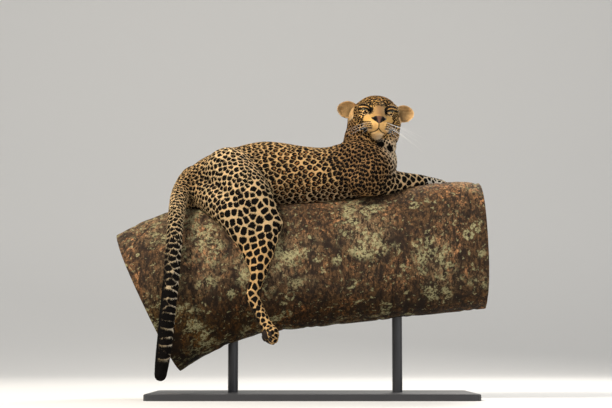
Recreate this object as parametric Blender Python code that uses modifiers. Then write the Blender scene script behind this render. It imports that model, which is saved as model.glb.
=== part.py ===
"""A life-size leopard lying astride a cut length of bough, on a plain display stand.

Units are metres. +X runs from the tail to the chest, the face looks along -Y and +Z is up. The origin is
the centre of the stand's underside. The animal is modelled whole, as tapered limbs and muscles laid over
named joints, fused and smoothed, and is then parted into its named pieces by thin cuts.
"""

import math

import bmesh
import bpy
import numpy as np
from mathutils import Matrix, Vector
from mathutils.bvhtree import BVHTree

# Driving dimensions
GAP = 0.0003
BODY_VOXEL = 0.004
HEAD_VOXEL = 0.0022
BODY_TRIANGLES = 5000
HEAD_TRIANGLES = 2900
EAR_THICKNESS = 0.0035
EYE_RADIUS = 0.0155
TAIL_RADIUS = 0.0265
BOUGH_RADIUS = 0.203

# The bough's centreline, from the cut end under the tail to the one beyond the paws, with its radius
# there as a share of BOUGH_RADIUS
BOUGH_LINE = (
    ((-0.520, 0.0, 0.305), 1.17),
    ((-0.390, 0.0, 0.366), 1.14),
    ((-0.200, 0.0, 0.405), 1.01),
    ((0.040, 0.0, 0.430), 0.99),
    ((0.240, 0.0, 0.453), 1.00),
    ((0.440, 0.0, 0.483), 1.015),
    ((0.540, 0.0, 0.488), 0.98),
)
BOUGH_RINGS = 20
BOUGH_SIDES = 24

# The stand
BASE_SIZE = (1.02, 0.52, 0.020)
BASE_CORNER = 0.03
BASE_CHAMFER = 0.003
ROD_RADIUS = 0.016
ROD_STATIONS = {"stand_rod_tail_end": -0.25, "stand_rod_head_end": 0.27}

# The trunk's sections along X: station, half width, top, bottom
TRUNK = (
    (-0.400, 0.045, 0.722, 0.630),
    (-0.372, 0.078, 0.752, 0.598),
    (-0.325, 0.100, 0.779, 0.580),
    (-0.270, 0.112, 0.793, 0.580),
    (-0.210, 0.116, 0.812, 0.585),
    (-0.150, 0.114, 0.821, 0.588),
    (-0.090, 0.112, 0.816, 0.590),
    (-0.030, 0.115, 0.806, 0.595),
    (0.030, 0.120, 0.801, 0.602),
    (0.090, 0.122, 0.808, 0.612),
    (0.140, 0.118, 0.812, 0.622),
    (0.190, 0.106, 0.800, 0.630),
    (0.235, 0.086, 0.772, 0.640),
    (0.262, 0.058, 0.740, 0.660),
)
TRUNK_SIDES = 28

# The skeleton's joints. The right side is the one towards -Y, which the face turns to
HIP = {"right": (-0.262, -0.072, 0.708), "left": (-0.262, 0.072, 0.708)}
KNEE = {"right": (-0.130, -0.180, 0.540), "left": (-0.150, 0.190, 0.566)}
HOCK = {"right": (-0.181, -0.234, 0.314), "left": (-0.235, 0.250, 0.365)}
HIND_TOE = {"right": (-0.110, -0.240, 0.172), "left": (-0.190, 0.248, 0.220)}
SEAT_BONE = {"right": (-0.345, -0.066, 0.650), "left": (-0.345, 0.066, 0.650)}
SHOULDER = {"right": (0.205, -0.085, 0.735), "left": (0.205, 0.085, 0.735)}
ELBOW = {"right": (0.150, -0.128, 0.668), "left": (0.135, 0.140, 0.650)}
WRIST = {"right": (0.352, 0.020, 0.690), "left": (0.318, 0.158, 0.627)}
FORE_TOE = {"right": (0.442, 0.098, 0.684), "left": (0.408, 0.160, 0.634)}
HIND_PAW_WIDTH = 0.090
FORE_PAW_WIDTH = 0.080

TAIL = (
    (-0.330, -0.012, 0.706),
    (-0.380, -0.028, 0.692),
    (-0.402, -0.064, 0.666),
    (-0.414, -0.115, 0.630),
    (-0.417, -0.170, 0.586),
    (-0.418, -0.220, 0.528),
    (-0.420, -0.256, 0.455),
    (-0.425, -0.270, 0.370),
    (-0.433, -0.273, 0.285),
    (-0.441, -0.270, 0.200),
    (-0.449, -0.265, 0.130),
    (-0.456, -0.258, 0.078),
)

NECK = ((0.160, 0.010, 0.735), (0.176, 0.010, 0.790), (0.184, 0.000, 0.845), (0.181, 0.006, 0.885))
NECK_RADII = (0.092, 0.084, 0.080, 0.070)

# The head: where its frame stands, and how it is turned from looking along -Y
HEAD_PLACE = (0.205, -0.062, 0.878)
HEAD_PITCH = math.radians(6)
HEAD_YAW = math.radians(3)
HEAD_ROLL = math.radians(-4)
EYE = (0.0275, 0.0395, 0.022)
EAR_CENTRE = (-0.046, 0.0905, 0.042)
EAR_LENGTH = 0.070
EAR_WIDTH = 0.056
EAR_CUP = 0.021


def clear_scene():
    for old in list(bpy.data.objects):
        bpy.data.objects.remove(old, do_unlink=True)


def new_collection(name):
    collection = bpy.data.collections.new(name)
    bpy.context.scene.collection.children.link(collection)
    return collection


def add_object(name, mesh, collection):
    obj = bpy.data.objects.new(name, mesh)
    collection.objects.link(obj)
    return obj


def mesh_from(name, shape):
    """A mesh from a finished bmesh, which is freed."""
    mesh = bpy.data.meshes.new(name)
    shape.to_mesh(mesh)
    shape.free()
    return mesh


def turn_to(direction, up=(0, 0, 1)):
    """The rotation whose x axis runs along direction, with z as near up as it can be."""
    x = Vector(direction).normalized()
    y = Vector(up).cross(x)
    if y.length < 1e-4:
        y = Vector((0, 1, 0))
    y.normalize()
    z = x.cross(y)
    return Matrix((x, y, z)).transposed().to_4x4()


def ball(centre, radii, along=(1, 0, 0), up=(0, 0, 1), steps=(20, 12)):
    """An ellipsoid with its first radius along a direction."""
    shape = bmesh.new()
    bmesh.ops.create_uvsphere(shape, u_segments=steps[0], v_segments=steps[1], radius=1)
    place = Matrix.Translation(centre) @ turn_to(along, up) @ Matrix.Diagonal((*radii, 1))
    bmesh.ops.transform(shape, matrix=place, verts=shape.verts)
    return mesh_from("ball", shape)


def limb(points, radii, sides=4, rounded=True, resolution=6):
    """A tapered round limb through the points: a bevelled curve with a radius at each, made a mesh."""
    data = bpy.data.curves.new("limb", "CURVE")
    data.dimensions = "3D"
    data.bevel_depth = 1.0
    data.bevel_resolution = sides
    data.use_fill_caps = True
    data.resolution_u = resolution
    spline = data.splines.new("BEZIER")
    spline.bezier_points.add(len(points) - 1)
    for point, place, radius in zip(spline.bezier_points, points, radii):
        point.co = place
        point.radius = radius
        point.handle_left_type = point.handle_right_type = "AUTO"
    curve = bpy.data.objects.new("limb", data)
    bpy.context.scene.collection.objects.link(curve)
    graph = bpy.context.evaluated_depsgraph_get()
    mesh = bpy.data.meshes.new_from_object(curve.evaluated_get(graph))
    bpy.data.objects.remove(curve)
    shape = bmesh.new()
    shape.from_mesh(mesh)
    bmesh.ops.remove_doubles(shape, verts=shape.verts, dist=1e-5)
    if rounded:
        for place, radius in ((points[0], radii[0]), (points[-1], radii[-1])):
            end = bmesh.ops.create_uvsphere(shape, u_segments=14, v_segments=8, radius=radius)
            bmesh.ops.translate(shape, verts=end["verts"], vec=place)
    return mesh_from("limb", shape)


def loft(rings):
    """A closed skin over rings of points, each with the same count, with flat ends."""
    shape = bmesh.new()
    loops = [[shape.verts.new(point) for point in ring] for ring in rings]
    count = len(loops[0])
    for ring, following in zip(loops, loops[1:]):
        for i in range(count):
            j = (i + 1) % count
            shape.faces.new((ring[i], ring[j], following[j], following[i]))
    shape.faces.new(loops[0][::-1])
    shape.faces.new(loops[-1])
    bmesh.ops.recalc_face_normals(shape, faces=shape.faces)
    bmesh.ops.triangulate(shape, faces=shape.faces, quad_method="FIXED")
    return mesh_from("loft", shape)


def blended(stops, steps):
    """Rows of numbers at evenly spaced steps along a smooth curve through the stops."""
    stops = np.array(stops, float)
    ends = np.vstack([2 * stops[0] - stops[1], stops, 2 * stops[-1] - stops[-2]])
    spans = np.linspace(0, len(stops) - 1, steps)
    rows = []
    for span in spans:
        i = min(int(span), len(stops) - 2)
        t = span - i
        before, start, end, after = ends[i : i + 4]
        rows.append(
            0.5
            * (
                2 * start
                + (end - before) * t
                + (2 * before - 5 * start + 4 * end - after) * t**2
                + (3 * start - before - 3 * end + after) * t**3
            )
        )
    return np.array(rows)


def evaluated_mesh(obj):
    graph = bpy.context.evaluated_depsgraph_get()
    return bpy.data.meshes.new_from_object(obj.evaluated_get(graph))


def apply_modifiers(obj):
    made = evaluated_mesh(obj)
    obj.modifiers.clear()
    obj.data = made
    return obj


def fused(name, meshes, voxel, smoothing, triangles, collection):
    """One smooth closed body from overlapping meshes: remeshed, smoothed and thinned to a triangle count."""
    shape = bmesh.new()
    for mesh in meshes:
        shape.from_mesh(mesh)
    obj = add_object(name, mesh_from(name, shape), collection)
    remesh = obj.modifiers.new("remesh", "REMESH")
    remesh.mode = "VOXEL"
    remesh.voxel_size = voxel
    smooth = obj.modifiers.new("smooth", "SMOOTH")
    smooth.factor = 0.5
    smooth.iterations = smoothing
    apply_modifiers(obj)
    faces = sum(len(face.vertices) - 2 for face in obj.data.polygons)
    thin = obj.modifiers.new("thin", "DECIMATE")
    thin.ratio = triangles / faces
    thin.use_collapse_triangulate = True
    return apply_modifiers(obj)


def combine(obj, mesh, operation):
    """Joins, cuts or intersects obj with a closed mesh, and keeps the largest closed surface."""
    tool = add_object("tool", mesh, bpy.context.scene.collection)
    change = obj.modifiers.new(operation, "BOOLEAN")
    change.operation = operation
    change.solver = "MANIFOLD"
    change.object = tool
    apply_modifiers(obj)
    bpy.data.objects.remove(tool)
    keep_largest(obj)
    return obj


def keep_largest(obj):
    """Drops every loose scrap, so that obj is one closed surface."""
    shape = bmesh.new()
    shape.from_mesh(obj.data)
    left = set(shape.verts)
    bodies = []
    while left:
        found = {left.pop()}
        edge = list(found)
        while edge:
            near = {e.other_vert(v) for v in edge for e in v.link_edges} - found
            found |= near
            edge = list(near)
        left -= found
        bodies.append(found)
    bodies.sort(key=len)
    scraps = [vert for body in bodies[:-1] for vert in body]
    bmesh.ops.delete(shape, geom=scraps, context="VERTS")
    shape.to_mesh(obj.data)
    shape.free()


def box_beyond(point, normal, depth, half_width):
    """A maker of the block that starts at a plane through point and runs on along normal."""

    def make(grow):
        shape = bmesh.new()
        bmesh.ops.create_cube(shape, size=1)
        size = (depth + grow, 2 * (half_width + grow), 2 * (half_width + grow))
        bmesh.ops.scale(shape, vec=size, verts=shape.verts)
        bmesh.ops.translate(shape, vec=((depth - grow) / 2, 0, 0), verts=shape.verts)
        place = Matrix.Translation(point) @ turn_to(normal, (0.12, 0.2, 0.97))
        bmesh.ops.transform(shape, matrix=place, verts=shape.verts)
        return mesh_from("block", shape)

    return make


def ball_region(centre, radii, along):
    """A maker of the egg-shaped region round a thigh or a shoulder."""

    def make(grow):
        grown = [radius + grow for radius in radii]
        return ball(centre, grown, along, steps=(14, 9))

    return make


def carve(whole, name, region, collection):
    """Parts the piece of whole that lies in a region, with a thin gap round it."""
    piece = add_object(name, whole.data.copy(), collection)
    combine(piece, region(0.0), "INTERSECT")
    combine(whole, region(GAP), "DIFFERENCE")
    return piece


def bough_mesh(grow=0.0):
    """The bough: rings across a bent centreline, with slow lumps round and along it and flat cut ends."""
    rows = blended([(*place, share) for place, share in BOUGH_LINE], BOUGH_RINGS)
    line = rows[:, :3]
    heading = np.gradient(line, axis=0)
    heading /= np.linalg.norm(heading, axis=1)[:, None]
    around = np.linspace(0, 2 * math.pi, BOUGH_SIDES, endpoint=False)
    rings = []
    for centre, ahead, share, station in zip(line, heading, rows[:, 3], np.linspace(0, 1, len(rows))):
        side = np.array((0.0, 1.0, 0.0))
        up = np.cross(ahead, side)
        up *= np.sign(up[2])
        lumps = 0.016 * np.sin(3 * around + 7 * station) + 0.012 * np.sin(5 * around - 11 * station + 1)
        radius = BOUGH_RADIUS * share * (1 + lumps) + grow
        rings.append(
            centre
            + radius[:, None] * (np.cos(around)[:, None] * side + np.sin(around)[:, None] * up)
        )
    if grow:
        rings[0] = rings[0] - heading[0] * grow
        rings[-1] = rings[-1] + heading[-1] * grow
    return loft(rings)


def trunk_mesh():
    """The trunk as egg-shaped sections, narrower at the spine than at the belly."""
    around = np.linspace(0, 2 * math.pi, TRUNK_SIDES, endpoint=False)
    rings = []
    for station, half, top, bottom in blended(TRUNK, 2 * len(TRUNK)):
        height = (top - bottom) / 2
        up = np.sin(around)
        wide = half * np.cos(around) * (1 - 0.13 * up)
        rings.append(
            np.column_stack(
                [np.full(TRUNK_SIDES, station), wide, (top + bottom) / 2 + height * up]
            )
        )
    return loft(rings)


def between(start, end, share):
    return Vector(start).lerp(Vector(end), share)


def paw_meshes(ankle, toe, up, width):
    """A paw: a palm and four toes side by side, the outer two set back."""
    ankle, toe = Vector(ankle), Vector(toe)
    ahead = (toe - ankle).normalized()
    reach = (toe - ankle).length
    side = Vector(up).cross(ahead).normalized()
    up = ahead.cross(side)
    palm = ankle + ahead * reach * 0.60
    meshes = [ball(palm, (reach * 0.34, width * 0.42, width * 0.28), ahead, up)]
    for place in (-1.5, -0.5, 0.5, 1.5):
        back = 0.012 if abs(place) > 1 else 0.0
        centre = ankle + ahead * (reach - 0.020 - back) + side * place * width * 0.225
        meshes.append(
            ball(centre - up * 0.002, (0.024, width * 0.150, width * 0.20), ahead - up * 0.15, up)
        )
    return meshes


def hind_leg_meshes(side):
    """Thigh, hamstring, calf, shank, foot and paw, hanging down the bough."""
    hip, knee, hock, toe = (Vector(joint[side]) for joint in (HIP, KNEE, HOCK, HIND_TOE))
    seat = Vector(SEAT_BONE[side])
    out = Vector((0, -1 if side == "right" else 1, 0))
    calf = between(knee, hock, 0.28) + Vector((-0.048, 0, 0))
    heel = hock + Vector((-0.012, 0, 0.004))
    ankle = between(hock, toe, 0.52)
    return [
        limb((hip, between(hip, knee, 0.5) + out * 0.014, knee), (0.086, 0.077, 0.043)),
        limb(
            (seat, between(seat, calf, 0.5) + out * 0.022 + Vector((0.012, 0, 0.020)), calf),
            (0.050, 0.056, 0.036),
        ),
        limb((between(hip, knee, 0.55), calf), (0.066, 0.036)),
        limb((knee, between(knee, hock, 0.45), hock), (0.040, 0.034, 0.0165)),
        limb((calf, between(knee, hock, 0.7) + Vector((-0.008, 0, 0)), heel), (0.036, 0.018, 0.012)),
        limb(
            (hock, between(hock, toe, 0.45) + Vector((-0.004, 0, 0)), between(hock, toe, 0.78)),
            (0.0215, 0.0230, 0.0260),
        ),
        *paw_meshes(ankle, toe, (1, -0.45 * out.y, 0.45), HIND_PAW_WIDTH),
    ]


def foreleg_meshes(side):
    """Shoulder blade, upper arm, forearm and paw, laid forward along the bough."""
    shoulder, elbow, wrist, toe = (Vector(joint[side]) for joint in (SHOULDER, ELBOW, WRIST, FORE_TOE))
    out = Vector((0, -1 if side == "right" else 1, 0))
    blade = Vector((0.120, shoulder.y * 0.62, 0.775))
    return [
        limb((blade, between(blade, shoulder, 0.6) + out * 0.012, shoulder), (0.045, 0.058, 0.056)),
        limb((shoulder, between(shoulder, elbow, 0.5) + out * 0.010, elbow), (0.058, 0.052, 0.036)),
        limb((blade + Vector((-0.010, 0, -0.040)), elbow), (0.048, 0.034)),
        limb(
            (
                elbow,
                between(elbow, wrist, 0.3) + Vector((0, 0, 0.004)),
                between(elbow, wrist, 0.7) + Vector((0, 0, 0.002)),
                wrist,
            ),
            (0.040, 0.047, 0.0345, 0.0270),
        ),
        limb((wrist, between(wrist, toe, 0.6)), (0.0260, 0.0235)),
        *paw_meshes(between(wrist, toe, 0.1), toe, (0, 0.1 * out.y, 1), FORE_PAW_WIDTH),
    ]


def tail_mesh():
    """The tail: even in thickness along most of its length, blunt at the tip."""
    shares = (1.60, 1.60, 1.34, 1.17, 1.09, 1.02, 1, 1, 1, 0.98, 0.93, 0.80)
    return limb(TAIL, [TAIL_RADIUS * share for share in shares])


def body_meshes():
    meshes = [trunk_mesh(), limb(NECK, NECK_RADII), tail_mesh()]
    meshes += [
        ball((0.213, -0.012, 0.752), (0.062, 0.078, 0.075)),
        ball((0.195, -0.050, 0.800), (0.060, 0.048, 0.076), along=(0, 0, 1)),
        ball((-0.362, 0.000, 0.612), (0.050, 0.072, 0.045)),
        ball((0.150, 0.000, 0.800), (0.055, 0.060, 0.050)),
        ball((-0.352, -0.050, 0.640), (0.042, 0.048, 0.048)),
        ball((-0.352, 0.050, 0.640), (0.042, 0.048, 0.048)),
        ball((0.105, 0.0, 0.772), (0.070, 0.060, 0.042)),
        ball((-0.225, 0.0, 0.758), (0.092, 0.070, 0.046)),
        ball((-0.368, -0.010, 0.700), (0.056, 0.050, 0.044)),
        limb(((-0.300, -0.050, 0.722), (-0.350, -0.058, 0.698), (-0.392, -0.062, 0.664)), (0.055, 0.048, 0.038)),
    ]
    for side in ("right", "left"):
        meshes += hind_leg_meshes(side) + foreleg_meshes(side)
    return meshes


def head_frame():
    """The head's own axes, x out of the muzzle, y to the animal's left and z up, set on the neck."""
    face_the_side = Matrix.Rotation(-math.pi / 2 + HEAD_YAW, 4, "Z")
    pitch = Matrix.Rotation(-HEAD_PITCH, 4, "Y")
    roll = Matrix.Rotation(HEAD_ROLL, 4, "X")
    return Matrix.Translation(HEAD_PLACE) @ face_the_side @ pitch @ roll


def head_meshes():
    """The masses of the head in its own frame: skull, brows, cheeks, jaw, muzzle, pads, nose and lids."""
    meshes = [
        ball((-0.042, 0, 0.033), (0.060, 0.073, 0.057)),
        ball((-0.012, 0, 0.040), (0.046, 0.064, 0.045)),
        ball((0.010, 0, 0.040), (0.030, 0.040, 0.030), along=(1, 0, -0.5)),
        ball((-0.008, 0, -0.044), (0.052, 0.048, 0.030)),
        ball((-0.050, 0, -0.020), (0.052, 0.062, 0.060)),
        limb(((0.010, 0, -0.010), (0.050, 0, -0.022), (0.080, 0, -0.034)), (0.042, 0.036, 0.026)),
        limb(((0.018, 0, 0.040), (0.050, 0, 0.018), (0.089, 0, -0.013)), (0.028, 0.0220, 0.0175)),
        ball((0.0935, 0, -0.019), (0.0100, 0.0215, 0.0130)),
        limb(((0.080, 0, -0.022), (0.084, 0, -0.040)), (0.018, 0.014)),
        limb(((0.000, 0, -0.050), (0.060, 0, -0.0550)), (0.031, 0.0160)),
        ball((0.0690, 0, -0.0575), (0.0205, 0.0230, 0.0125)),
    ]
    for out in (-1, 1):
        meshes += [
            ball((-0.014, out * 0.043, -0.012), (0.048, 0.036, 0.046)),
            ball((-0.036, out * 0.047, -0.028), (0.042, 0.033, 0.046)),
            ball((-0.052, out * 0.044, 0.008), (0.044, 0.040, 0.044)),
            ball((0.018, out * 0.044, -0.006), (0.032, 0.024, 0.024)),
            ball((0.008, out * 0.040, 0.030), (0.034, 0.028, 0.024), along=(1, 0.2 * out, -0.2)),
            ball((-0.022, out * 0.046, 0.028), (0.045, 0.029, 0.038)),
            limb(((0.012, out * 0.034, -0.004), (0.072, out * 0.018, -0.026)), (0.029, 0.020)),
            ball((0.0730, out * 0.0210, -0.0385), (0.0265, 0.0220, 0.0180), along=(1, -0.25 * out, 0)),
            ball((0.0520, out * 0.0310, -0.0370), (0.0260, 0.0180, 0.0190)),
            ball((EYE[0], out * EYE[1], EYE[2]), (EYE_RADIUS + 0.0035,) * 3),
        ]
    return meshes


def on_surface(tree, point):
    return tree.find_nearest(Vector(point))[0]


def groove(head, points, radius):
    """Cuts a fine groove into the head along points drawn down to its surface."""
    shape = bmesh.new()
    shape.from_mesh(head.data)
    tree = BVHTree.FromBMesh(shape)
    shape.free()
    line = [on_surface(tree, point) for point in blended(points, 2 * len(points))]
    cutter = limb(line, [radius] * len(line), sides=1, rounded=False, resolution=1)
    combine(head, cutter, "DIFFERENCE")


def cut_face(head):
    """The eye sockets and lid slits, the nostrils, the cleft under the nose and the line of the mouth."""
    groove(head, ((0.1010, 0, -0.0300), (0.1000, 0, -0.0400), (0.0960, 0, -0.0480)), 0.0012)
    for out in (-1, 1):
        mouth = (
            (0.0960, 0.0005 * out, -0.0475),
            (0.0940, 0.0080 * out, -0.0535),
            (0.0860, 0.0200 * out, -0.0580),
            (0.0720, 0.0310 * out, -0.0575),
            (0.0560, 0.0390 * out, -0.0540),
            (0.0460, 0.0430 * out, -0.0500),
        )
        groove(head, mouth, 0.0014)
        nostril = ball(
            (0.1010, 0.0135 * out, -0.0215), (0.0065, 0.0056, 0.0032), (1, 0.6 * out, 0.1), steps=(10, 6)
        )
        combine(head, nostril, "DIFFERENCE")
        eye = Vector((EYE[0], out * EYE[1], EYE[2]))
        slit = ball(
            eye + Vector((0.013, 0.003 * out, 0.0005)),
            (0.0115, 0.0125, 0.0024),
            along=(1, 0.25 * out, 0.1),
            up=(0, -0.22 * out, 1),
            steps=(16, 8),
        )
        combine(head, slit, "DIFFERENCE")
        combine(head, ball(eye, (EYE_RADIUS + GAP,) * 3, steps=(14, 10)), "DIFFERENCE")


def ear_mesh(out):
    """An ear: the lower half of a flattened ball, a round cup open to the front, with a wall's thickness."""
    shape = bmesh.new()
    bmesh.ops.create_uvsphere(shape, u_segments=16, v_segments=10, radius=1)
    above = [vert for vert in shape.verts if vert.co.z > 0.01]
    bmesh.ops.delete(shape, geom=above, context="VERTS")
    for vert in shape.verts:
        along, across, deep = vert.co
        pointed = 1 - 0.16 * max(0.0, along) ** 2
        vert.co = (along * EAR_LENGTH / 2, across * pointed * EAR_WIDTH / 2, deep * EAR_CUP)
    leaf = add_object("leaf", mesh_from("leaf", shape), bpy.context.scene.collection)
    wall = leaf.modifiers.new("wall", "SOLIDIFY")
    wall.thickness = EAR_THICKNESS
    wall.offset = 0
    apply_modifiers(leaf)
    outward = Vector((-0.20, 0.93 * out, 0.20)).normalized()
    facing = Vector((0.94, 0.28 * out, -0.02))
    upward = facing.cross(outward).normalized()
    facing = outward.cross(upward).normalized()
    centre = Vector((EAR_CENTRE[0], out * EAR_CENTRE[1], EAR_CENTRE[2]))
    turn = Matrix((outward, upward, facing)).transposed().to_4x4()
    mesh = leaf.data
    mesh.transform(head_frame() @ Matrix.Translation(centre) @ turn)
    bpy.data.objects.remove(leaf)
    return mesh


def swollen(mesh, amount):
    """A copy of a closed mesh pushed out along its normals."""
    obj = add_object("swollen", mesh.copy(), bpy.context.scene.collection)
    push = obj.modifiers.new("push", "DISPLACE")
    push.strength = amount
    push.mid_level = 0
    made = evaluated_mesh(obj)
    bpy.data.objects.remove(obj)
    return made


def make_leopard(collection):
    """The whole animal, cut to the bough that it lies on and then parted into its pieces."""
    whole = fused("torso_belly", body_meshes(), BODY_VOXEL, 7, BODY_TRIANGLES, collection)
    combine(whole, bough_mesh(GAP), "DIFFERENCE")
    head = fused("head", head_meshes(), HEAD_VOXEL, 10, HEAD_TRIANGLES, collection)
    frame = head_frame()
    head.data.transform(frame)

    throat = box_beyond((0.200, 0.000, 0.824), (0.02, -0.24, 0.97), 0.30, 0.20)
    neck_top = add_object("neck_top", whole.data.copy(), collection)
    combine(neck_top, throat(0.0), "INTERSECT")
    combine(whole, throat(GAP), "DIFFERENCE")
    combine(head, neck_top.data.copy(), "UNION")
    bpy.data.objects.remove(neck_top)
    below = box_beyond((0.200, 0.000, 0.824), (-0.02, 0.24, -0.97), 0.30, 0.20)
    combine(head, below(0.0), "DIFFERENCE")
    skull = swollen(head.data, GAP)
    head.data.transform(frame.inverted())
    cut_face(head)
    head.data.transform(frame)

    for side, out in (("right", -1), ("left", 1)):
        eye = ball((EYE[0], out * EYE[1], EYE[2]), (EYE_RADIUS,) * 3, steps=(14, 10))
        eye.transform(frame)
        add_object(f"eye_{side}", eye, collection)
        ear = add_object(f"ear_{side}", ear_mesh(out), collection)
        combine(ear, skull.copy(), "DIFFERENCE")

    for side, out in (("right", -1), ("left", 1)):
        hip, knee, hock, toe = (Vector(joint[side]) for joint in (HIP, KNEE, HOCK, HIND_TOE))
        shin = (hock - knee).normalized()
        foot = (toe - hock).normalized()
        paw = box_beyond(between(hock, toe, 0.55), foot, 0.12, 0.06)
        carve(whole, f"hind_paw_{side}", paw, collection)
        shank = box_beyond(between(knee, hock, 0.34), shin, 0.25, 0.10)
        carve(whole, f"shank_{side}", shank, collection)
        thigh = ball_region(
            between(hip, knee, 0.55) + Vector((-0.030, 0.040 * out, 0.0)), (0.205, 0.105, 0.165),
            (0.60, 0.25 * out, -0.75),
        )
        carve(whole, f"thigh_{side}", thigh, collection)
        shoulder, elbow, wrist, tip = (Vector(joint[side]) for joint in (SHOULDER, ELBOW, WRIST, FORE_TOE))
        carve(whole, f"fore_paw_{side}", box_beyond(wrist, tip - wrist, 0.16, 0.06), collection)
        forearm = box_beyond(between(elbow, wrist, 0.48), wrist - elbow, 0.20, 0.050)
        carve(whole, f"forearm_{side}", forearm, collection)
        arm = ball_region(
            between(shoulder, elbow, 0.5) + Vector((0.012, 0.030 * out, -0.004)), (0.098, 0.052, 0.078),
            (0.75, 0.05 * out, -0.65),
        )
        carve(whole, f"upper_arm_{side}", arm, collection)
    carve(whole, "neck", box_beyond((0.18, 0, 0.762), (0.30, -0.08, 0.92), 0.2, 0.14), collection)
    tail_cuts = {"tail_tip": 9, "tail_lower": 7, "tail_middle": 5, "tail_base": 2}
    for name, start in tail_cuts.items():
        ahead = Vector(TAIL[start + 1]) - Vector(TAIL[start])
        region = box_beyond(TAIL[start], ahead, 0.32, 0.055)
        carve(whole, name, region, collection)
    carve(whole, "torso_chest", box_beyond((0.045, 0, 0.70), (1, 0, 0.05), 0.4, 0.25), collection)
    carve(whole, "torso_hips", box_beyond((-0.165, 0, 0.70), (-1, 0, 0.1), 0.4, 0.25), collection)


def make_stand(collection):
    """A flat base with rounded corners, and two rods whose tops are cut to the bough's underside."""
    shape = bmesh.new()
    bmesh.ops.create_cube(shape, size=1)
    bmesh.ops.scale(shape, vec=BASE_SIZE, verts=shape.verts)
    bmesh.ops.translate(shape, vec=(0, 0, BASE_SIZE[2] / 2), verts=shape.verts)
    upright = [e for e in shape.edges if abs(e.verts[0].co.z - e.verts[1].co.z) > BASE_SIZE[2] / 2]
    bmesh.ops.bevel(shape, geom=upright, offset=BASE_CORNER, segments=6, profile=0.5, affect="EDGES")
    top = [face for face in shape.faces if face.normal.z > 0.9]
    bmesh.ops.bevel(shape, geom=top[0].edges[:], offset=BASE_CHAMFER, segments=1, affect="EDGES")
    add_object("stand_base", mesh_from("stand_base", shape), collection)
    for name, station in ROD_STATIONS.items():
        shape = bmesh.new()
        low, high = BASE_SIZE[2] + GAP, 0.40
        bmesh.ops.create_cone(
            shape, cap_ends=True, segments=24, radius1=ROD_RADIUS, radius2=ROD_RADIUS, depth=high - low
        )
        bmesh.ops.translate(shape, vec=(station, 0, (low + high) / 2), verts=shape.verts)
        rod = add_object(name, mesh_from(name, shape), collection)
        combine(rod, bough_mesh(GAP), "DIFFERENCE")


def paint(collection):
    """One material for each finish, chosen by the piece's name."""
    finishes = {
        "coat": ((0.62, 0.40, 0.18, 1), 0.75, 0.0),
        "eye": ((0.30, 0.26, 0.10, 1), 0.10, 0.0),
        "bark": ((0.30, 0.22, 0.16, 1), 0.90, 0.0),
        "stand": ((0.05, 0.05, 0.055, 1), 0.50, 0.0),
    }
    made = {}
    for name, (colour, roughness, metallic) in finishes.items():
        material = bpy.data.materials.new(name)
        material.use_nodes = True
        shader = material.node_tree.nodes["Principled BSDF"]
        shader.inputs["Base Color"].default_value = colour
        shader.inputs["Roughness"].default_value = roughness
        shader.inputs["Metallic"].default_value = metallic
        made[name] = material
    for obj in collection.objects:
        kind = {"eye": "eye", "perch": "bark", "stand": "stand"}.get(obj.name.split("_")[0], "coat")
        obj.data.materials.clear()
        obj.data.materials.append(made[kind])
        obj.data.shade_smooth()
        obj.data.set_sharp_from_angle(angle=math.radians(40))


def main():
    clear_scene()
    collection = new_collection("leopard_on_a_bough")
    make_leopard(collection)
    add_object("perch_bough", bough_mesh(), collection)
    make_stand(collection)
    paint(collection)


main()
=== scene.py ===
"""The looks of a life-size leopard lying astride a cut length of bough, on a plain display stand.

The animal's masses are worked out as surfaces of two parameters in the solids' own frame, fused into a skin
that lies a coat's depth inside the solids, and covered with short tufts of fur that lie along the body.
"""

import math

import bpy
import numpy as np
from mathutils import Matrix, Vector


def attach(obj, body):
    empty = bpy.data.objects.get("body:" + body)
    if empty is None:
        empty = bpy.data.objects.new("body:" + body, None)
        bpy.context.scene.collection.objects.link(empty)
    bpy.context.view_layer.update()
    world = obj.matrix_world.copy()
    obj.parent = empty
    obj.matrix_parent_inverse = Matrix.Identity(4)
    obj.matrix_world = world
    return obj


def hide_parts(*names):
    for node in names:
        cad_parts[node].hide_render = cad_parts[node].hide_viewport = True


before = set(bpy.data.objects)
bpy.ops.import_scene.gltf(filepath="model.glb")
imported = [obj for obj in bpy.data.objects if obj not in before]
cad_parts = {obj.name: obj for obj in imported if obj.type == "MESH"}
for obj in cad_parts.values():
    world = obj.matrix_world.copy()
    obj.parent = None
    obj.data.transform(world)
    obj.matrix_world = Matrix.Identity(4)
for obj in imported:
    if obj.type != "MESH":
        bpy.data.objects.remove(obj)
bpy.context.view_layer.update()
rng = np.random.default_rng(11)

# The bough, as the solids have it
BOUGH_RADIUS = 0.203
BOUGH_LINE = (
    ((-0.520, 0.0, 0.305), 1.17),
    ((-0.390, 0.0, 0.366), 1.14),
    ((-0.200, 0.0, 0.405), 1.01),
    ((0.040, 0.0, 0.430), 0.99),
    ((0.240, 0.0, 0.453), 1.00),
    ((0.440, 0.0, 0.483), 1.015),
    ((0.540, 0.0, 0.488), 0.98),
)

# The trunk's sections along X: station, half width, top, bottom
TRUNK = (
    (-0.400, 0.045, 0.722, 0.630),
    (-0.372, 0.078, 0.752, 0.598),
    (-0.325, 0.100, 0.779, 0.580),
    (-0.270, 0.112, 0.793, 0.580),
    (-0.210, 0.116, 0.812, 0.585),
    (-0.150, 0.114, 0.821, 0.588),
    (-0.090, 0.112, 0.816, 0.590),
    (-0.030, 0.115, 0.806, 0.595),
    (0.030, 0.120, 0.801, 0.602),
    (0.090, 0.122, 0.808, 0.612),
    (0.140, 0.118, 0.812, 0.622),
    (0.190, 0.106, 0.800, 0.630),
    (0.235, 0.086, 0.772, 0.640),
    (0.262, 0.058, 0.740, 0.660),
)

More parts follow.
